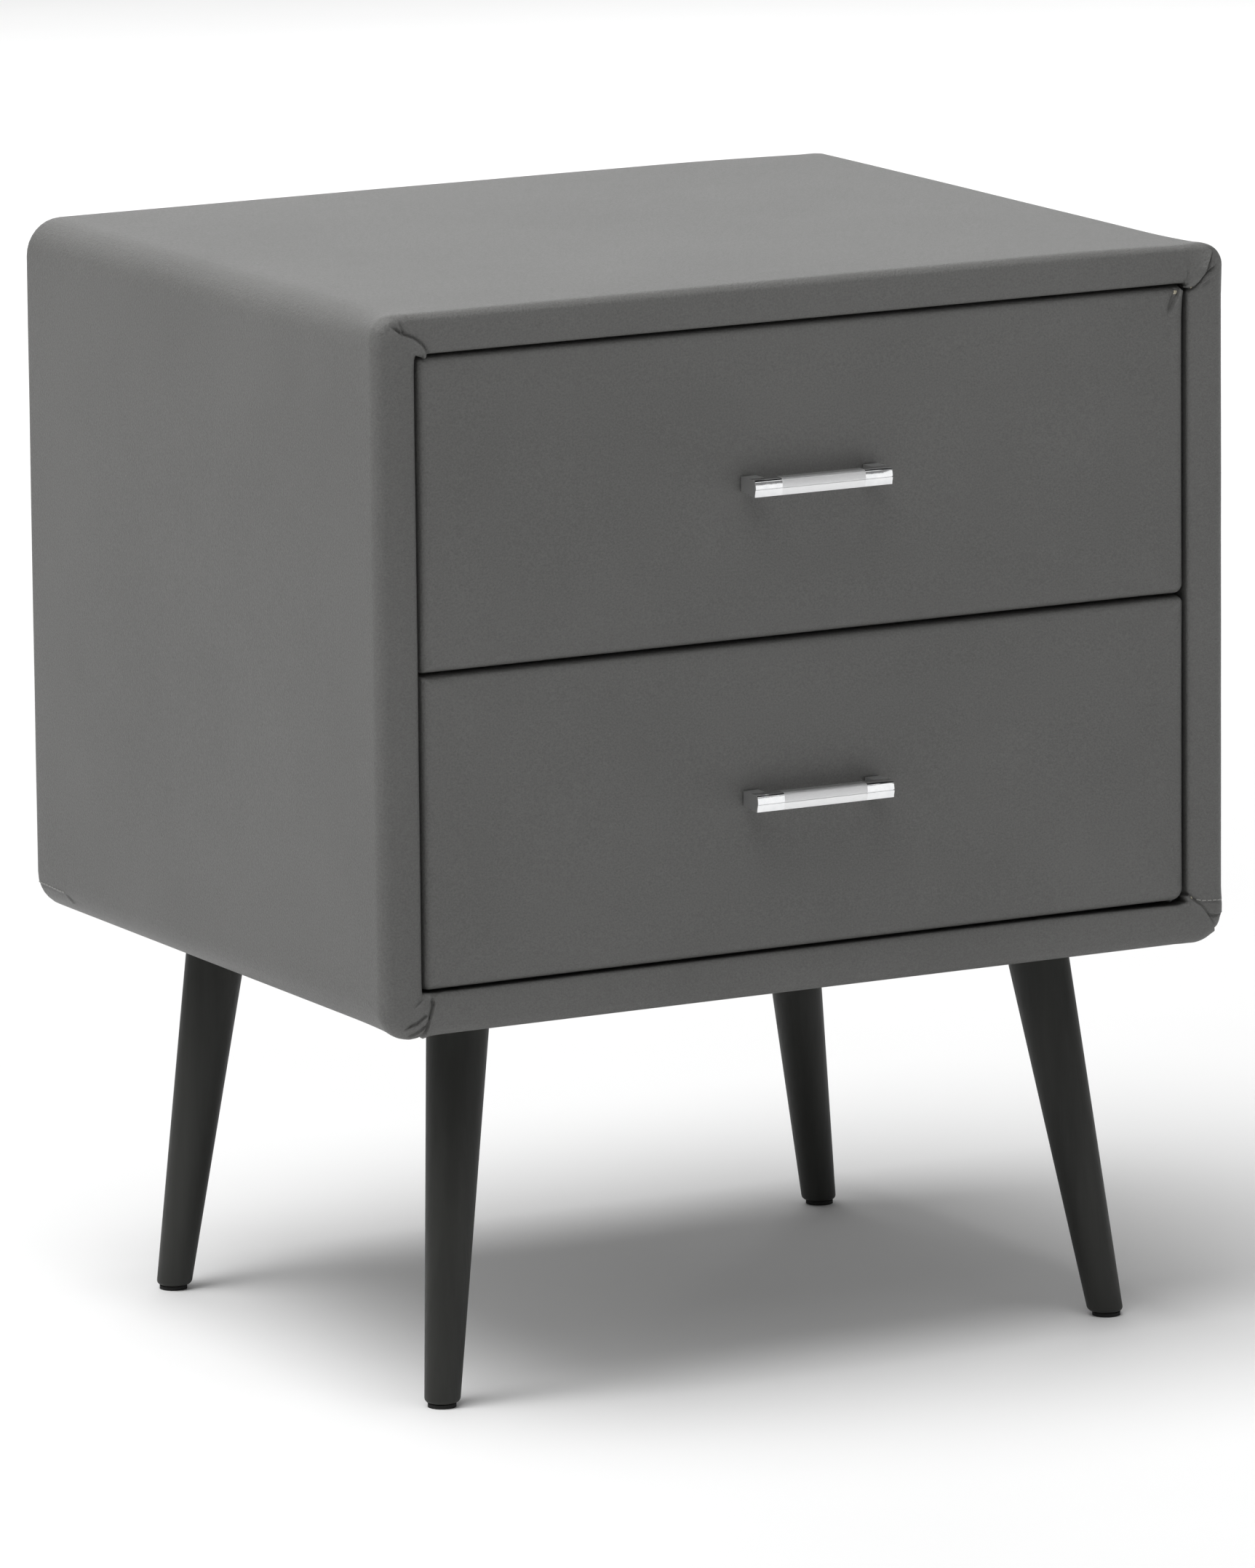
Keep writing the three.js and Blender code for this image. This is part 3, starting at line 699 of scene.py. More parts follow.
def cover_lift():
    at, way = places(cover) / MM, outward(cover)
    x, y, z = at[:, 0], at[:, 1] - FRONT / MM, at[:, 2]
    lift = np.zeros(len(at))
    crown_y = np.clip(1 - ((y - DEPTH / 2) / (DEPTH / 2)) ** 2, 0, 1)
    crown_x = np.clip(1 - (x / WIDE) ** 2, 0, 1)
    crown_z = np.clip(1 - ((z - (LOW + HIGH) / 2) / ((HIGH - LOW) / 2)) ** 2, 0, 1)
    lift += 1.3 * np.clip(way[:, 2], 0, 1) ** 2 * (crown_x * crown_y) ** 0.5
    lift += 1.0 * way[:, 0] ** 2 * (crown_z * crown_y) ** 0.5
    lift += 0.10 * slow_noise(at, 0.018, 3) * (way[:, 2] > -0.5)
    lift -= 1.1 * np.clip(way[:, 2], 0, 1) ** 2 * np.clip((x - 130) / 90, 0, 1) ** 2
    smooth_lift = lift.copy()
    front = np.clip(1 - (y - 4) / 10, 0, 1) * (way[:, 1] < 0.5)
    corner = np.clip(1 - np.hypot(np.abs(x) - 238, np.minimum(np.abs(z - 216), np.abs(z - 565))) / 20, 0, 1)
    lift += front * corner * (1.0 + 0.55 * slow_noise(at, 0.16, 5))
    for item in COVER_FOLDS:
        lift += front * fold(x, z, **item)
    for item in SIDE_FOLDS:
        lift += (np.abs(way[:, 0]) > 0.6) * fold(y, z, **item)
    for (bead_x, bead_z), height, width in BEADS:
        lift += front * height * np.exp(-(((x - bead_x) ** 2 + (z - bead_z) ** 2) / width**2))
    return at + way * np.clip(lift, -1.25, None)[:, None], at - way * (1.3 - smooth_lift)[:, None]


refine_folds(cover, COVER_FOLDS, [0, 2], 2.4, 2)
refine_folds(cover, SIDE_FOLDS, [1, 2], 4.0, 5)
outer, inner = cover_lift()
move_points(cover, outer * MM)
close_sheet(cover, inner * MM)
print("cover spans", [round(float(v), 1) for v in np.ptp(places(cover) / MM, axis=0)])


# %% Hang the cover
def finish_piece(piece, body, finish, smooth=40):
    """Smooths a finished piece, dresses it and hangs it on its body."""
    use(piece)
    bpy.ops.object.shade_smooth_by_angle(angle=math.radians(smooth))
    if not piece.data.materials:
        piece.data.materials.append(finish.material)
    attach(piece, body)
    return piece


finish_piece(cover, "carcass", leather, 75)
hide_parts("cover_leather")
print("cover closed with", len(cover.data.polygons), "faces")

# %% [markdown]
# ## The drawer fronts
# A drawer front is a board under foam and leather. The leather is pulled round to the
# back and pinned, and the handle's feet press it down, so between them it swells. That
# swelling is what a cloth simulation does well: the sheet is held at its edge and at
# the two feet, a gentle pressure fills it, and the result is kept as plain points.

# %% Drawer skin sheet
GRID, NEAR, NEAR_STEP = 4.5, 11.2, 1.4
SKIN_EDGE, SKIN_BULGE = 4.2, 0.7
SKIN_CORNERS = {"upper": (2.6, 4.5, 2.4, 2.4), "lower": (3.0, 6.5, 3.0, 2.4)}
TURN_IN = 8.0


def stations(low, high):
    """Coordinates across a face: small steps at both ends and wider ones between."""
    ends = np.arange(1, int(NEAR / NEAR_STEP) + 1) * NEAR_STEP
    count = int(round((high - low - 2 * NEAR) / GRID))
    middle = np.linspace(low + NEAR, high - NEAR, count + 1)
    return np.concatenate([[low], low + ends[:-1], middle, (high - ends[:-1])[::-1], [high]])


def skin_sheet(name, drawer):
    low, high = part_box(drawer + "_front_leather")
    lower_left, lower_right, upper_right, upper_left = SKIN_CORNERS[drawer]
    corners = {(False, False): lower_left, (True, False): lower_right, (True, True): upper_right,
               (False, True): upper_left}
    left, right, under, over = low.x / MM, high.x / MM, low.z / MM, high.z / MM
    thick = (high.y - low.y) / MM
    xs = stations(left + SKIN_EDGE, right - SKIN_EDGE)
    zs = stations(under + SKIN_EDGE, over - SKIN_EDGE)
    nx, nz = len(xs), len(zs)
    points = [[x, 0.0, z] for z in zs for x in xs]
    faces = [(j * nx + i, j * nx + i + 1, (j + 1) * nx + i + 1, (j + 1) * nx + i) for j in range(nz - 1)
             for i in range(nx - 1)]
    rim = [i for i in range(nx)] + [j * nx + nx - 1 for j in range(1, nz)]
    rim += [(nz - 1) * nx + i for i in range(nx - 2, -1, -1)] + [j * nx for j in range(nz - 2, 0, -1)]
    flat = np.array([[points[i][0], points[i][2]] for i in rim])

    def pushed(inset):
        """The rim moved out to a rounded rectangle that is set in by this much."""
        reach = 4.2
        hx, hz = (right - left) / 2, (over - under) / 2
        cx, cz = (left + right) / 2, (under + over) / 2
        out = (flat - (cx, cz)) * ((hx - inset) / (hx - SKIN_EDGE), (hz - inset) / (hz - SKIN_EDGE))
        for k, (px, pz) in enumerate(flat - (cx, cz)):
            ax, az = hx - SKIN_EDGE - abs(px), hz - SKIN_EDGE - abs(pz)
            if max(ax, az) < reach:
                radius = max(corners[(px > 0, pz > 0)] - inset, 0.3)
                angle = math.pi / 4 * (1 + (ax - az) / reach)
                qx = hx - inset - radius + radius * math.cos(angle)
                qz = hz - inset - radius + radius * math.sin(angle)
                out[k] = (math.copysign(qx, px), math.copysign(qz, pz))
        return out + (cx, cz)

    rows = [(SKIN_EDGE - SKIN_EDGE * math.sin(a), SKIN_EDGE - SKIN_EDGE * math.cos(a)) for a in arc(6)]
    rows += [(-SKIN_BULGE * math.sin(math.pi * i / 4), SKIN_EDGE + (thick - 2 * SKIN_EDGE) * i / 4)
             for i in range(1, 5)]
    rows += [(SKIN_EDGE - SKIN_EDGE * math.cos(a), thick - SKIN_EDGE + SKIN_EDGE * math.sin(a))
             for a in arc(4)]
    rows += [(TURN_IN, thick)]
    inner = list(rim)
    for inset, depth in rows:
        ring = pushed(inset)
        start = len(points)
        points += [[x, depth, z] for x, z in ring]
        outer = list(range(start, start + len(rim)))
        n = len(rim)
        faces += [(inner[i], outer[i], outer[(i + 1) % n], inner[(i + 1) % n]) for i in range(n)]
        inner = outer
    points = np.array(points)
    points[:, 1] += FRONT / MM
    return make_piece(name, points * MM, faces)


# %% [markdown]
# ### Filling the skin
# The simulation runs for twenty steps with no weight on it. Points behind the front
# face and points under the handle's feet are held. The forward swelling is then scaled
# down as a whole, so that its shape stays and its largest value is small. Sideways, each
# point has a cap, so that a drawer front never swells into its neighbour.


# %% Filling
def fill_skin(piece, held, pressure, forward, sideways):
    """Swells a skin with the cloth solver, then keeps the result as plain points."""
    start = places(piece)
    group = piece.vertex_groups.new(name="held")
    group.add([int(i) for i in np.flatnonzero(held)], 1.0, "REPLACE")
    cloth = piece.modifiers.new("swell", "CLOTH")
    settings = cloth.settings
    settings.quality = 5
    settings.mass = 0.25
    settings.tension_stiffness = settings.compression_stiffness = 30
    settings.shear_stiffness, settings.bending_stiffness = 15, 1.5
    settings.use_pressure, settings.uniform_pressure_force = True, pressure
    settings.vertex_group_mass = group.name
    settings.effector_weights.gravity = 0
    for step in range(1, 21):
        scene.frame_set(step)
    swollen = np.empty(start.size)
    result = piece.evaluated_get(bpy.context.evaluated_depsgraph_get())
    result.data.vertices.foreach_get("co", swollen)
    move = swollen.reshape(-1, 3) - start
    most = np.abs(move[:, 1]).max()
    move[:, 1] *= min(1.0, forward / max(most, 1e-9))
    flat = np.hypot(move[:, 0], move[:, 2])
    move[:, [0, 2]] *= np.minimum(1, sideways / np.maximum(flat, 1e-9))[:, None]
    piece.modifiers.remove(cloth)
    piece.vertex_groups.remove(group)
    scene.frame_set(1)
    move_points(piece, start + move)
    print(piece.name, "swelled", round(most / MM, 2), "mm, kept",
          round(float(np.abs(move[:, 1]).max()) / MM, 2))


def refine(piece):
    """One level of subdivision, kept."""
    smooth = piece.modifiers.new("refine", "SUBSURF")
    smooth.levels = smooth.render_levels = 1
    use(piece)
    bpy.ops.object.modifier_apply(modifier=smooth.name)


# %% Make the two drawer skins
SKIN_FOLDS = {
    "upper": [
        dict(line=[(221.6, 553.4), (218.2, 546.6), (214.6, 538.5)],
             lip=1.5, trough=2.2, swell=1.2, fade=(0.02, 0.6), trough_width=1.9),
        dict(line=[(210.0, 549.0), (214.6, 538.5)],
             lip=0.25, trough=0.35, trough_width=3.0, fade=(0.5, 0.4)),
        dict(line=[(-217.0, 400.5), (-221.2, 396.6)], lip=0.2, trough=0.4, fade=(0.4, 0.15)),
    ],
    "lower": [
        dict(line=[(215.5, 236.5), (219.8, 232.0)], lip=0.2, trough=0.4, fade=(0.5, 0.15)),
        dict(line=[(-216.5, 385.6), (-221.2, 389.0)], lip=0.2, trough=0.4, fade=(0.4, 0.15)),
    ],
}


def skin_lift(piece, drawer, seed):
    """Small unevenness: puckers round the handle's feet and folds at the corners."""
    at, way = places(piece) / MM, outward(piece)
    x, z = at[:, 0], at[:, 2]
    low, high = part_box(drawer + "_handle")
    middle = (low.z + high.z) / 2 / MM
    face = np.clip(-way[:, 1], 0, 1)
    lift = 0.08 * slow_noise(at, 0.02, seed) * face
    for side in (-1, 1):
        dx, dz = x - side * 36.0, z - middle - 0.5
        far = np.hypot(dx, dz)
        angle = np.arctan2(dz, dx)
        lift += face * 0.24 * np.cos(7 * angle + seed) * np.exp(-(((far - 10) / 5.0) ** 2))
        lift -= face * 0.75 * np.exp(-((far / 9.0) ** 2))
    smooth_lift = lift.copy()
    for item in SKIN_FOLDS[drawer]:
        lift += face * fold(x, z, **item)
    return at + way * np.clip(lift, -1.25, None)[:,
        None], at - way * (1.0 - np.clip(smooth_lift, None, 0.1))[:, None]


def drawer_skin(drawer, seed):
    node = drawer + "_front_leather"
    skin = skin_sheet(drawer + "_drawer_skin", drawer)
    at = places(skin) / MM
    low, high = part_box(drawer + "_handle")
    middle = (low.z + high.z) / 2 / MM
    under_foot = (np.abs(np.abs(at[:, 0]) - 36.0) < 5.5) & (np.abs(at[:, 2] - middle - 0.5) < 5.0)
    behind = at[:, 1] - FRONT / MM > SKIN_EDGE - 0.1
    fill_skin(skin, under_foot | behind, 4.0, 1.7 * MM, 0.3 * MM)
    refine(skin)
    refine_folds(skin, SKIN_FOLDS[drawer], [0, 2], 2.0, 2)
    outer, inner = skin_lift(skin, drawer, seed)
    move_points(skin, outer * MM)
    close_sheet(skin, inner * MM)
    finish_piece(skin, drawer + "_drawer", leather, 75)
    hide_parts(node)
    return skin


for drawer, seed in (("lower", 5), ("upper", 11)):
    skin = drawer_skin(drawer, seed)
    print(skin.name, len(skin.data.polygons), "faces")

# %% [markdown]
# ## The bar handles
# The bar is cut from one solid with a low ridge along its front, and its two feet come
# off its back. It starts as a box. Two cuts mark the ridge and the underside of the
# feet, four more mark the feet and the satin part, and the feet are then extruded. The
# ridge's edge is pressed in as a fine groove. The front is satin in the middle and
# polished towards both ends, and the end faces and the feet's backs are satin too.

# %% Model one handle
def handle_piece(name, node):
    low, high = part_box(node)
    half, rise = (high.x - low.x) / 2 / MM, (high.z - low.z) / 2 / MM
    middle, front = (low.z + high.z) / 2 / MM, low.y / MM
    ridge, back = 0.8, front + 7.0
    bar = box_piece(name, (-half, front + ridge, middle - rise), (half, back, middle + rise))
    cut(bar, (0, 0, middle - 0.45), (0, 0, 1))
    cut(bar, (0, 0, middle + rise - 8.0), (0, 0, 1))
    for x in (-24.5, 24.5, half - 9.0, 9.0 - half):
        cut(bar, (x, 0, 0), (1, 0, 0))
    pick(bar, lambda e: abs(centre(e).z - middle + 0.45) < 0.01 and centre(e).y < front + ridge + 0.01
         and abs((e.verts[0].co - e.verts[1].co).x) > 1e-6, "EDGE")
    bpy.ops.transform.translate(value=(0, -ridge * MM, 0))
    feet = pick(bar, lambda f: f.normal.y > 0.9 and abs(centre(f).x) > half - 9.0
                and centre(f).z > middle + rise - 8.0)
    bpy.ops.mesh.extrude_region_move(TRANSFORM_OT_translate={"value": (0, (high.y / MM - back) * MM, 0)})
    top_edge = lambda e: centre(e).z > middle + rise - 0.01 and centre(e).y < front + ridge + 0.01
    pick(bar, top_edge, "EDGE")
    bpy.ops.mesh.bevel(offset=1.1 * MM, segments=1, affect="EDGES")
    on_ridge = lambda e: abs(centre(e).z - middle + 0.45) < 0.01 and centre(e).y < front + 0.01
    pick(bar, on_ridge, "EDGE")
    bpy.ops.mesh.bevel(offset=0.32 * MM, segments=1, affect="EDGES")
    pick(bar, lambda f: abs(centre(f).z - middle + 0.45) < 0.2 and f.normal.y < -0.9
         and centre(f).y < front + 0.4)
    bpy.ops.mesh.extrude_region_move(TRANSFORM_OT_translate={"value": (0, 0.5 * MM, 0)})
    pick(bar, lambda e: sharp_edges(30)(e) and abs(centre(e).z - middle + 0.45) > 0.4, "EDGE")
    bpy.ops.mesh.bevel(offset=0.25 * MM, segments=2, affect="EDGES")
    done(bar)
    bar.data.materials.append(plating.material)
    bar.data.materials.append(satin.material)
    for face in bar.data.polygons:
        on_end = abs(face.normal.x) > 0.9 or face.center.y > (back - 0.1) * MM
        face.material_index = int(on_end or abs(face.center.x) < 24.5 * MM)
    print(name, "feet faces", feet, "faces", len(bar.data.polygons))
    return bar


for drawer in ("lower", "upper"):
    handle = handle_piece(drawer + "_bar_handle", drawer + "_handle")
    finish_piece(handle, drawer + "_drawer", plating, 20)
    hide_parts(drawer + "_handle")

# %% [markdown]
# ## The legs
# A leg is turned to a long taper and leans outwards, but its foot is cut level so that
# it stands flat. So the cone is made upright and too long, turned to its lean, and then
# cut by a level plane. The cut's edge is rounded, as sanding leaves it.

# %% Turn the legs
LEG_TOP, LEG_FOOT = 33.0, 18.5


def leg_piece(name, corner):
    plate_low, plate_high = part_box("leg_plate_" + corner)
    glide_low, glide_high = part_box("leg_glide_" + corner)
    leg_low, leg_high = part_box("leg_" + corner)
    top = Vector(((plate_low.x + plate_high.x) / 2, (plate_low.y + plate_high.y) / 2, cover_low.z))
    foot = Vector(((glide_low.x + glide_high.x) / 2, (glide_low.y + glide_high.y) / 2, 0))
    up = (top - foot).normalized()
    lean = up.angle(Vector((0, 0, 1)))
    rim = LEG_TOP / 2 * MM * math.sin(lean)
    length = (top - foot).length - (cover_low.z - leg_high.z + rim) / math.cos(lean)
    taper = (LEG_TOP - LEG_FOOT) / 2 * MM / length
    spare = 8 * MM
    bpy.ops.object.select_all(action="DESELECT")
    bpy.ops.mesh.primitive_cone_add(
        vertices=56, radius1=LEG_FOOT / 2 * MM - spare * taper, radius2=LEG_TOP / 2 * MM,
        depth=length + spare, location=foot + up * (length - spare) / 2,
        rotation=Vector((0, 0, 1)).rotation_difference(up).to_euler(),
    )
    leg = bpy.context.object
    leg.name = leg.data.name = name
    settle(leg)
    cut(leg, (0, 0, leg_low.z / MM), (0, 0, 1), clear_inner=True, use_fill=True)
    level = leg_low.z / MM
    pick(leg, lambda e: abs(centre(e).z - level) < 0.01 and sharp_edges(20)(e), "EDGE")
    bpy.ops.mesh.bevel(offset=2.4 * MM, segments=5, affect="EDGES")
    pick(leg, lambda e: centre(e).z > leg_high.z / MM - 12 and sharp_edges(40)(e), "EDGE")
    bpy.ops.mesh.bevel(offset=0.8 * MM, segments=2, affect="EDGES")
    done(leg)
    print(name, "lean", round(math.degrees(lean), 2), "length", round(length / MM, 1))
    return leg


CORNERS = ["front_left", "front_right", "back_left", "back_right"]
for corner in CORNERS:
    leg = leg_piece("turned_leg_" + corner, corner)
    finish_piece(leg, "carcass", lacquer, 35)
    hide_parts("leg_" + corner)

# %% [markdown]
# ## Screws in the leg plates
# Each plate is held by four pan-head screws. The head is a short cylinder whose lower
# rim is rounded over, with a round socket sunk in its middle. One head is modelled
# under the first plate, and the other fifteen are copies of it.


# %% Plate screws
def pan_head(name, place, diameter, height, down):
    """A pan-head screw's head, whose flat side is at the place and which stands out along down."""
    bpy.ops.object.select_all(action="DESELECT")
    bpy.ops.mesh.primitive_cylinder_add(vertices=24, radius=diameter / 2 * MM, depth=height * MM,
                                        location=(0, 0, height / 2 * MM))
    head = bpy.context.object
    head.name = head.data.name = name
    settle(head)
    pick(head, lambda e: centre(e).z > height - 0.01, "EDGE")
    bpy.ops.mesh.bevel(offset=height * 0.45 * MM, segments=3, affect="EDGES")
    pick(head, lambda f: f.normal.z > 0.99 and centre(f).z > height - 0.01)
    bpy.ops.mesh.inset(thickness=diameter * 0.14 * MM)
    bpy.ops.mesh.extrude_region_move(TRANSFORM_OT_translate={"value": (0, 0, -height * 0.5 * MM)})
    done(head)
    turn = Vector((0, 0, 1)).rotation_difference(Vector(down)).to_matrix().to_4x4()
    head.data.transform(Matrix.Translation(Vector(place)) @ turn)
    return head


def finish_copies(first, spots, body, finish):
    """Hangs a piece, and a copy of it at each further spot."""
    pieces = [first] + [copy_of(first, f"{first.name}_{k + 2}", Matrix.Translation(spot)) for k,
                        spot in enumerate(spots)]
    for piece in pieces:
        finish_piece(piece, body, finish)
    return pieces


SCREW_SPACING = 44.0 * MM
corner_places = []
for corner in CORNERS:
    low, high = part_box("leg_plate_" + corner)
    for sx in (-1, 1):
        for sy in (-1, 1):
            middle = (low + high) / 2
            corner_places.append(Vector((middle.x + sx * SCREW_SPACING / 2,
                                         middle.y + sy * SCREW_SPACING / 2, high.z - 2.0 * MM)))
first_head = pan_head("plate_screw", corner_places[0], 8.0, 2.2, (0, 0, -1))
heads = finish_copies(first_head, [p - corner_places[0] for p in corner_places[1:]], "carcass",
                      zinc)
print("plate screws", len(heads))

# %% [markdown]
# ## Stitches
# Two short seams show: one across the lower end of the right front strip, and one low
# at the back of each side. A stitch is a short plump dash of thread with rounded ends.
# It starts as a box with every edge rounded over. One is modelled, and each copy is set
# on the nearest point of the cover and turned to it.


# %% Sew the seams
def stitch_line(name, start, end, pitch, length):
    """Dashes of thread along a straight line on the cover, joined into one piece."""
    first = box_piece(name + "_first", (-length / 2, -0.36, -0.32), (length / 2, 0.36, 0.32))
    pick(first, sharp_edges(60), "EDGE")
    bpy.ops.mesh.bevel(offset=0.28 * MM, segments=3, affect="EDGES")
    done(first)
    start, end = Vector(start) * MM, Vector(end) * MM
    way = (end - start).normalized()
    count = int((end - start).length / (pitch * MM))
    dashes = []
    for k in range(count):
        _, spot, normal, _ = cover.closest_point_on_mesh(start + way * (k + 0.5) * pitch * MM)
        across = normal.cross(way).normalized()
        along = across.cross(normal).normalized()
        frame_of = Matrix((along, across, normal)).transposed().to_4x4()
        dashes.append(copy_of(first, f"{name}_{k}", Matrix.Translation(spot + normal * 0.05 * MM) @ frame_of))
    bpy.data.objects.remove(first)
    bpy.ops.object.select_all(action="DESELECT")
    for dash in dashes:
        dash.select_set(True)
    bpy.context.view_layer.objects.active = dashes[0]
    bpy.ops.object.join()
    seam = bpy.context.object
    seam.name = seam.data.name = name
    finish_piece(seam, "carcass", thread)
    print(name, count, "stitches")


front_mm, rear_mm = FRONT / MM, FRONT / MM + 402
stitch_line("strip_stitches", (231.0, front_mm - 1, 227.6), (248.5, front_mm - 1, 225.8), 3.4, 2.5)
stitch_line("left_side_stitches", (-252, rear_mm - 32, 217.2), (-252, rear_mm, 218.2), 3.2, 2.4)
stitch_line("right_side_stitches", (252, rear_mm - 32, 217.2), (252, rear_mm, 218.2), 3.2, 2.4)

# %% [markdown]
# ## Staples
# Staples hold the back panel to the case, and the turned-in leather to the backs of the
# drawer fronts. A staple's crown is a thin bar whose ends bend down into the wood: a
# box with its long ends extruded inwards. One is modelled, and the rest are copies.


# %% Staples
def staple(name, width):
    """A staple's crown lying along X on the plane y = 0, standing out towards +Y."""
    crown = box_piece(name, (-width / 2, 0.1, -0.6), (width / 2, 0.7, 0.6))
    for side in (-1, 1):
        cut(crown, (side * (width / 2 - 0.7), 0, 0), (1, 0, 0))
    pick(crown, lambda f: f.normal.y < -0.9 and abs(centre(f).x) > width / 2 - 0.7)
    bpy.ops.mesh.extrude_region_move(TRANSFORM_OT_translate={"value": (0, -1.4 * MM, 0)})
    pick(crown, lambda e: sharp_edges(60)(e) and centre(e).y > 0.3, "EDGE")
    bpy.ops.mesh.bevel(offset=0.2 * MM, segments=2, affect="EDGES")
    return done(crown)


def staples(name, depth, spots, body, upright):
    """Copies of a staple at spots (x, z) on the plane y = depth, joined into one piece."""
    first = staple(name, 9.0)
    copies = []
    for k, (x, z) in enumerate(spots):
        turn = Matrix.Rotation(math.radians(90), 4, "Y") if upright[k] else Matrix.Identity(4)
        copies.append(copy_of(first, f"{name}_{k}", Matrix.Translation((x * MM, depth, z * MM)) @ turn))
    bpy.data.objects.remove(first)
    use(copies[0])
    for twin in copies:
        twin.select_set(True)
    bpy.ops.object.join()
    row = bpy.context.object
    row.name = row.data.name = name
    finish_piece(row, body, zinc)
    print(name, len(spots))


def round_rim(low, high, margin, pitch):
    """Evenly spaced spots along the four sides of a rectangle, and which of them stand upright."""
    left, right = low.x / MM + margin, high.x / MM - margin
    under, over = low.z / MM + margin, high.z / MM - margin
    across = np.linspace(left + 12, right - 12, int((right - left) / pitch) + 1)
    up = np.linspace(under + 14, over - 14, int((over - under) / pitch) + 1)
    flat = [(x, z) for x in across for z in (under, over)]
    tall = [(x, z) for z in up for x in (left, right)]
    return flat + tall, [False] * len(flat) + [True] * len(tall)


panel_low, panel_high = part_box("back_panel")
spots, upright = round_rim(panel_low, panel_high, 6, 62)
staples("back_staples", panel_high.y, spots, "carcass", upright)
for drawer in ("lower", "upper"):
    low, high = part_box(drawer + "_front_leather")
    spots, upright = round_rim(low, high, 4.5, 48)
    staples(drawer + "_front_staples", high.y, spots, drawer + "_drawer", upright)

# %% [markdown]
# ## The drawer boxes
# A drawer's sides are boards with a groove near the bottom edge for the drawer bottom.
# The top edges are eased, because hands touch them. Each side starts as a box. Two cuts
# mark the groove, its face is pushed into the board, and the upper edges are bevelled.


# %% Drawer sides
def grooved_side(name, node, groove_low, groove_high, deep):
    low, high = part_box(node)
    board = box_piece(name, low / MM, high / MM)
    inner = -1 if low.x > 0 else 1
    for z in (groove_low, groove_high):
        cut(board, (0, 0, z), (0, 0, 1))
    pick(board, lambda f: f.normal.x * inner > 0.9 and groove_low < centre(f).z < groove_high)
    bpy.ops.mesh.extrude_region_move(TRANSFORM_OT_translate={"value": (-inner * deep * MM, 0, 0)})
    pick(board, lambda e: centre(e).z > high.z / MM - 0.01, "EDGE")
    bpy.ops.mesh.bevel(offset=1.5 * MM, segments=3, affect="EDGES")
    return done(board)


for drawer in ("lower", "upper"):
    bottom_low, bottom_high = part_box(drawer + "_box_bottom")
    for side in ("left", "right"):
        node = f"{drawer}_box_{side}"
        board = grooved_side(f"{drawer}_drawer_side_{side}", node, bottom_low.z / MM - 0.3,
                             bottom_high.z / MM + 0.3, 6.0)
        finish_piece(board, drawer + "_drawer", drawer_foil)
        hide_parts(node)
    low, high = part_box(drawer + "_box_back")
    back = box_piece(f"{drawer}_drawer_back", low / MM, high / MM)
    pick(back, lambda e: centre(e).z > high.z / MM - 0.01 and abs(centre(e).x) < 1, "EDGE")
    bpy.ops.mesh.bevel(offset=1.5 * MM, segments=3, affect="EDGES")
    done(back)
    finish_piece(back, drawer + "_drawer", drawer_foil)
    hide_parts(drawer + "_box_back")
    side_low, side_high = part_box(drawer + "_box_right")
    for side, s in (("left", -1), ("right", 1)):
        spots = [Vector((s * side_high.x, side_high.y - 6 * MM, side_low.z + z * MM)) for z in (14, 101)]
        head = pan_head(f"{drawer}_box_screw_{side}", spots[0], 6.5, 0.9, (s, 0, 0))
        finish_copies(head, [spots[1] - spots[0]], drawer + "_drawer", zinc)
print("drawer sides grooved")

# %% [markdown]
# ## Balls and cages in the slides
# Between the three channels of a slide, rows of steel balls run in a thin cage. The
# outer rows stay near the back of the middle channel and the inner rows near its front,
# so that they never leave their tracks, however far the drawer is pulled out.


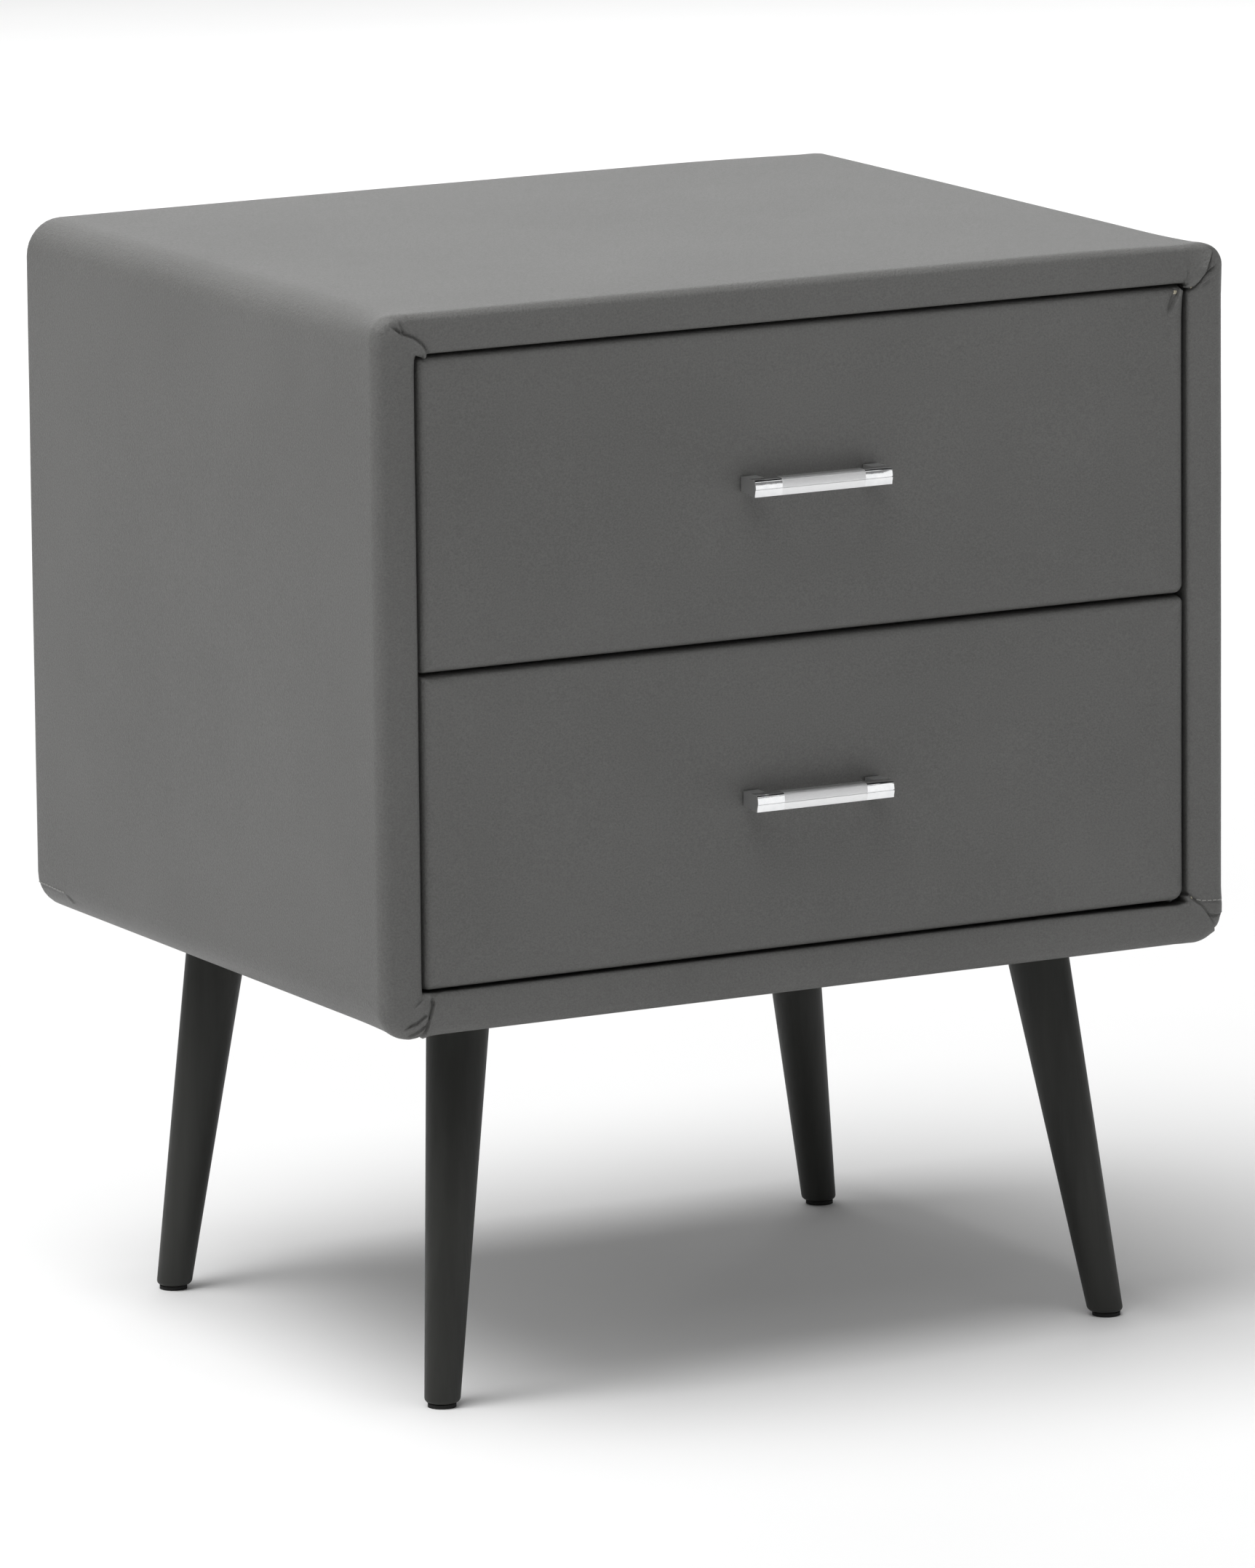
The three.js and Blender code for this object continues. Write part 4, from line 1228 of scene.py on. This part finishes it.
# %% Slide balls
bpy.ops.object.select_all(action="DESELECT")
bpy.ops.mesh.primitive_ico_sphere_add(subdivisions=2, radius=1.25 * MM, location=(0, 0, 0))
first_ball = bpy.context.object
first_ball.name = "first_ball"


def ball_row(name, x, z, y_from, y_to, count, body):
    """A cage strip with its balls, joined into one piece."""
    strip = box_piece(name, (x - 0.3, y_from, z - 1.1), (x + 0.3, y_to, z + 1.1))
    pick(strip, lambda e: abs(centre(e).y - y_from) < 0.01 or abs(centre(e).y - y_to) < 0.01, "EDGE")
    bpy.ops.mesh.bevel(offset=0.15 * MM, segments=2, affect="EDGES")
    done(strip)
    parts = [strip]
    for k in range(count):
        y = y_from + (y_to - y_from) * (k + 0.5) / count
        parts.append(copy_of(first_ball, f"{name}_{k}", Matrix.Translation((x * MM, y * MM, z * MM))))
    bpy.ops.object.select_all(action="DESELECT")
    for part in parts:
        part.select_set(True)
    bpy.context.view_layer.objects.active = strip
    bpy.ops.object.join()
    finish_piece(strip, body, zinc)


for drawer in ("lower", "upper"):
    for side, sign in (("left", -1), ("right", 1)):
        member_low, member_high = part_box(f"{drawer}_slide_middle_{side}")
        _, cabinet_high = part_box(f"{drawer}_slide_cabinet_{side}")
        _, inner_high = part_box(f"{drawer}_slide_drawer_{side}")
        z = (member_low.z + member_high.z) / 2 / MM
        back, front = member_high.y / MM, member_low.y / MM
        reach = [abs(v) / MM for v in (member_low.x, member_high.x)]
        x = sign * (min(reach) + 2.2)
        outer_gap = (cabinet_high.z - member_low.z) / MM / 2 - 0.6
        inner_gap = (member_high.z / MM - 1.2 + inner_high.z / MM) / 2 - z
        for up in (-1, 1):
            tag = "over" if up > 0 else "under"
            ball_row(f"{drawer}_outer_balls_{side}_{tag}", x, z + up * outer_gap, back - 170, back - 20,
                     9, drawer + "_runners")
            ball_row(f"{drawer}_inner_balls_{side}_{tag}", x, z + up * inner_gap, front + 20,
                     front + 170, 9, drawer + "_runners")
bpy.data.objects.remove(first_ball)
print("slide balls in place")
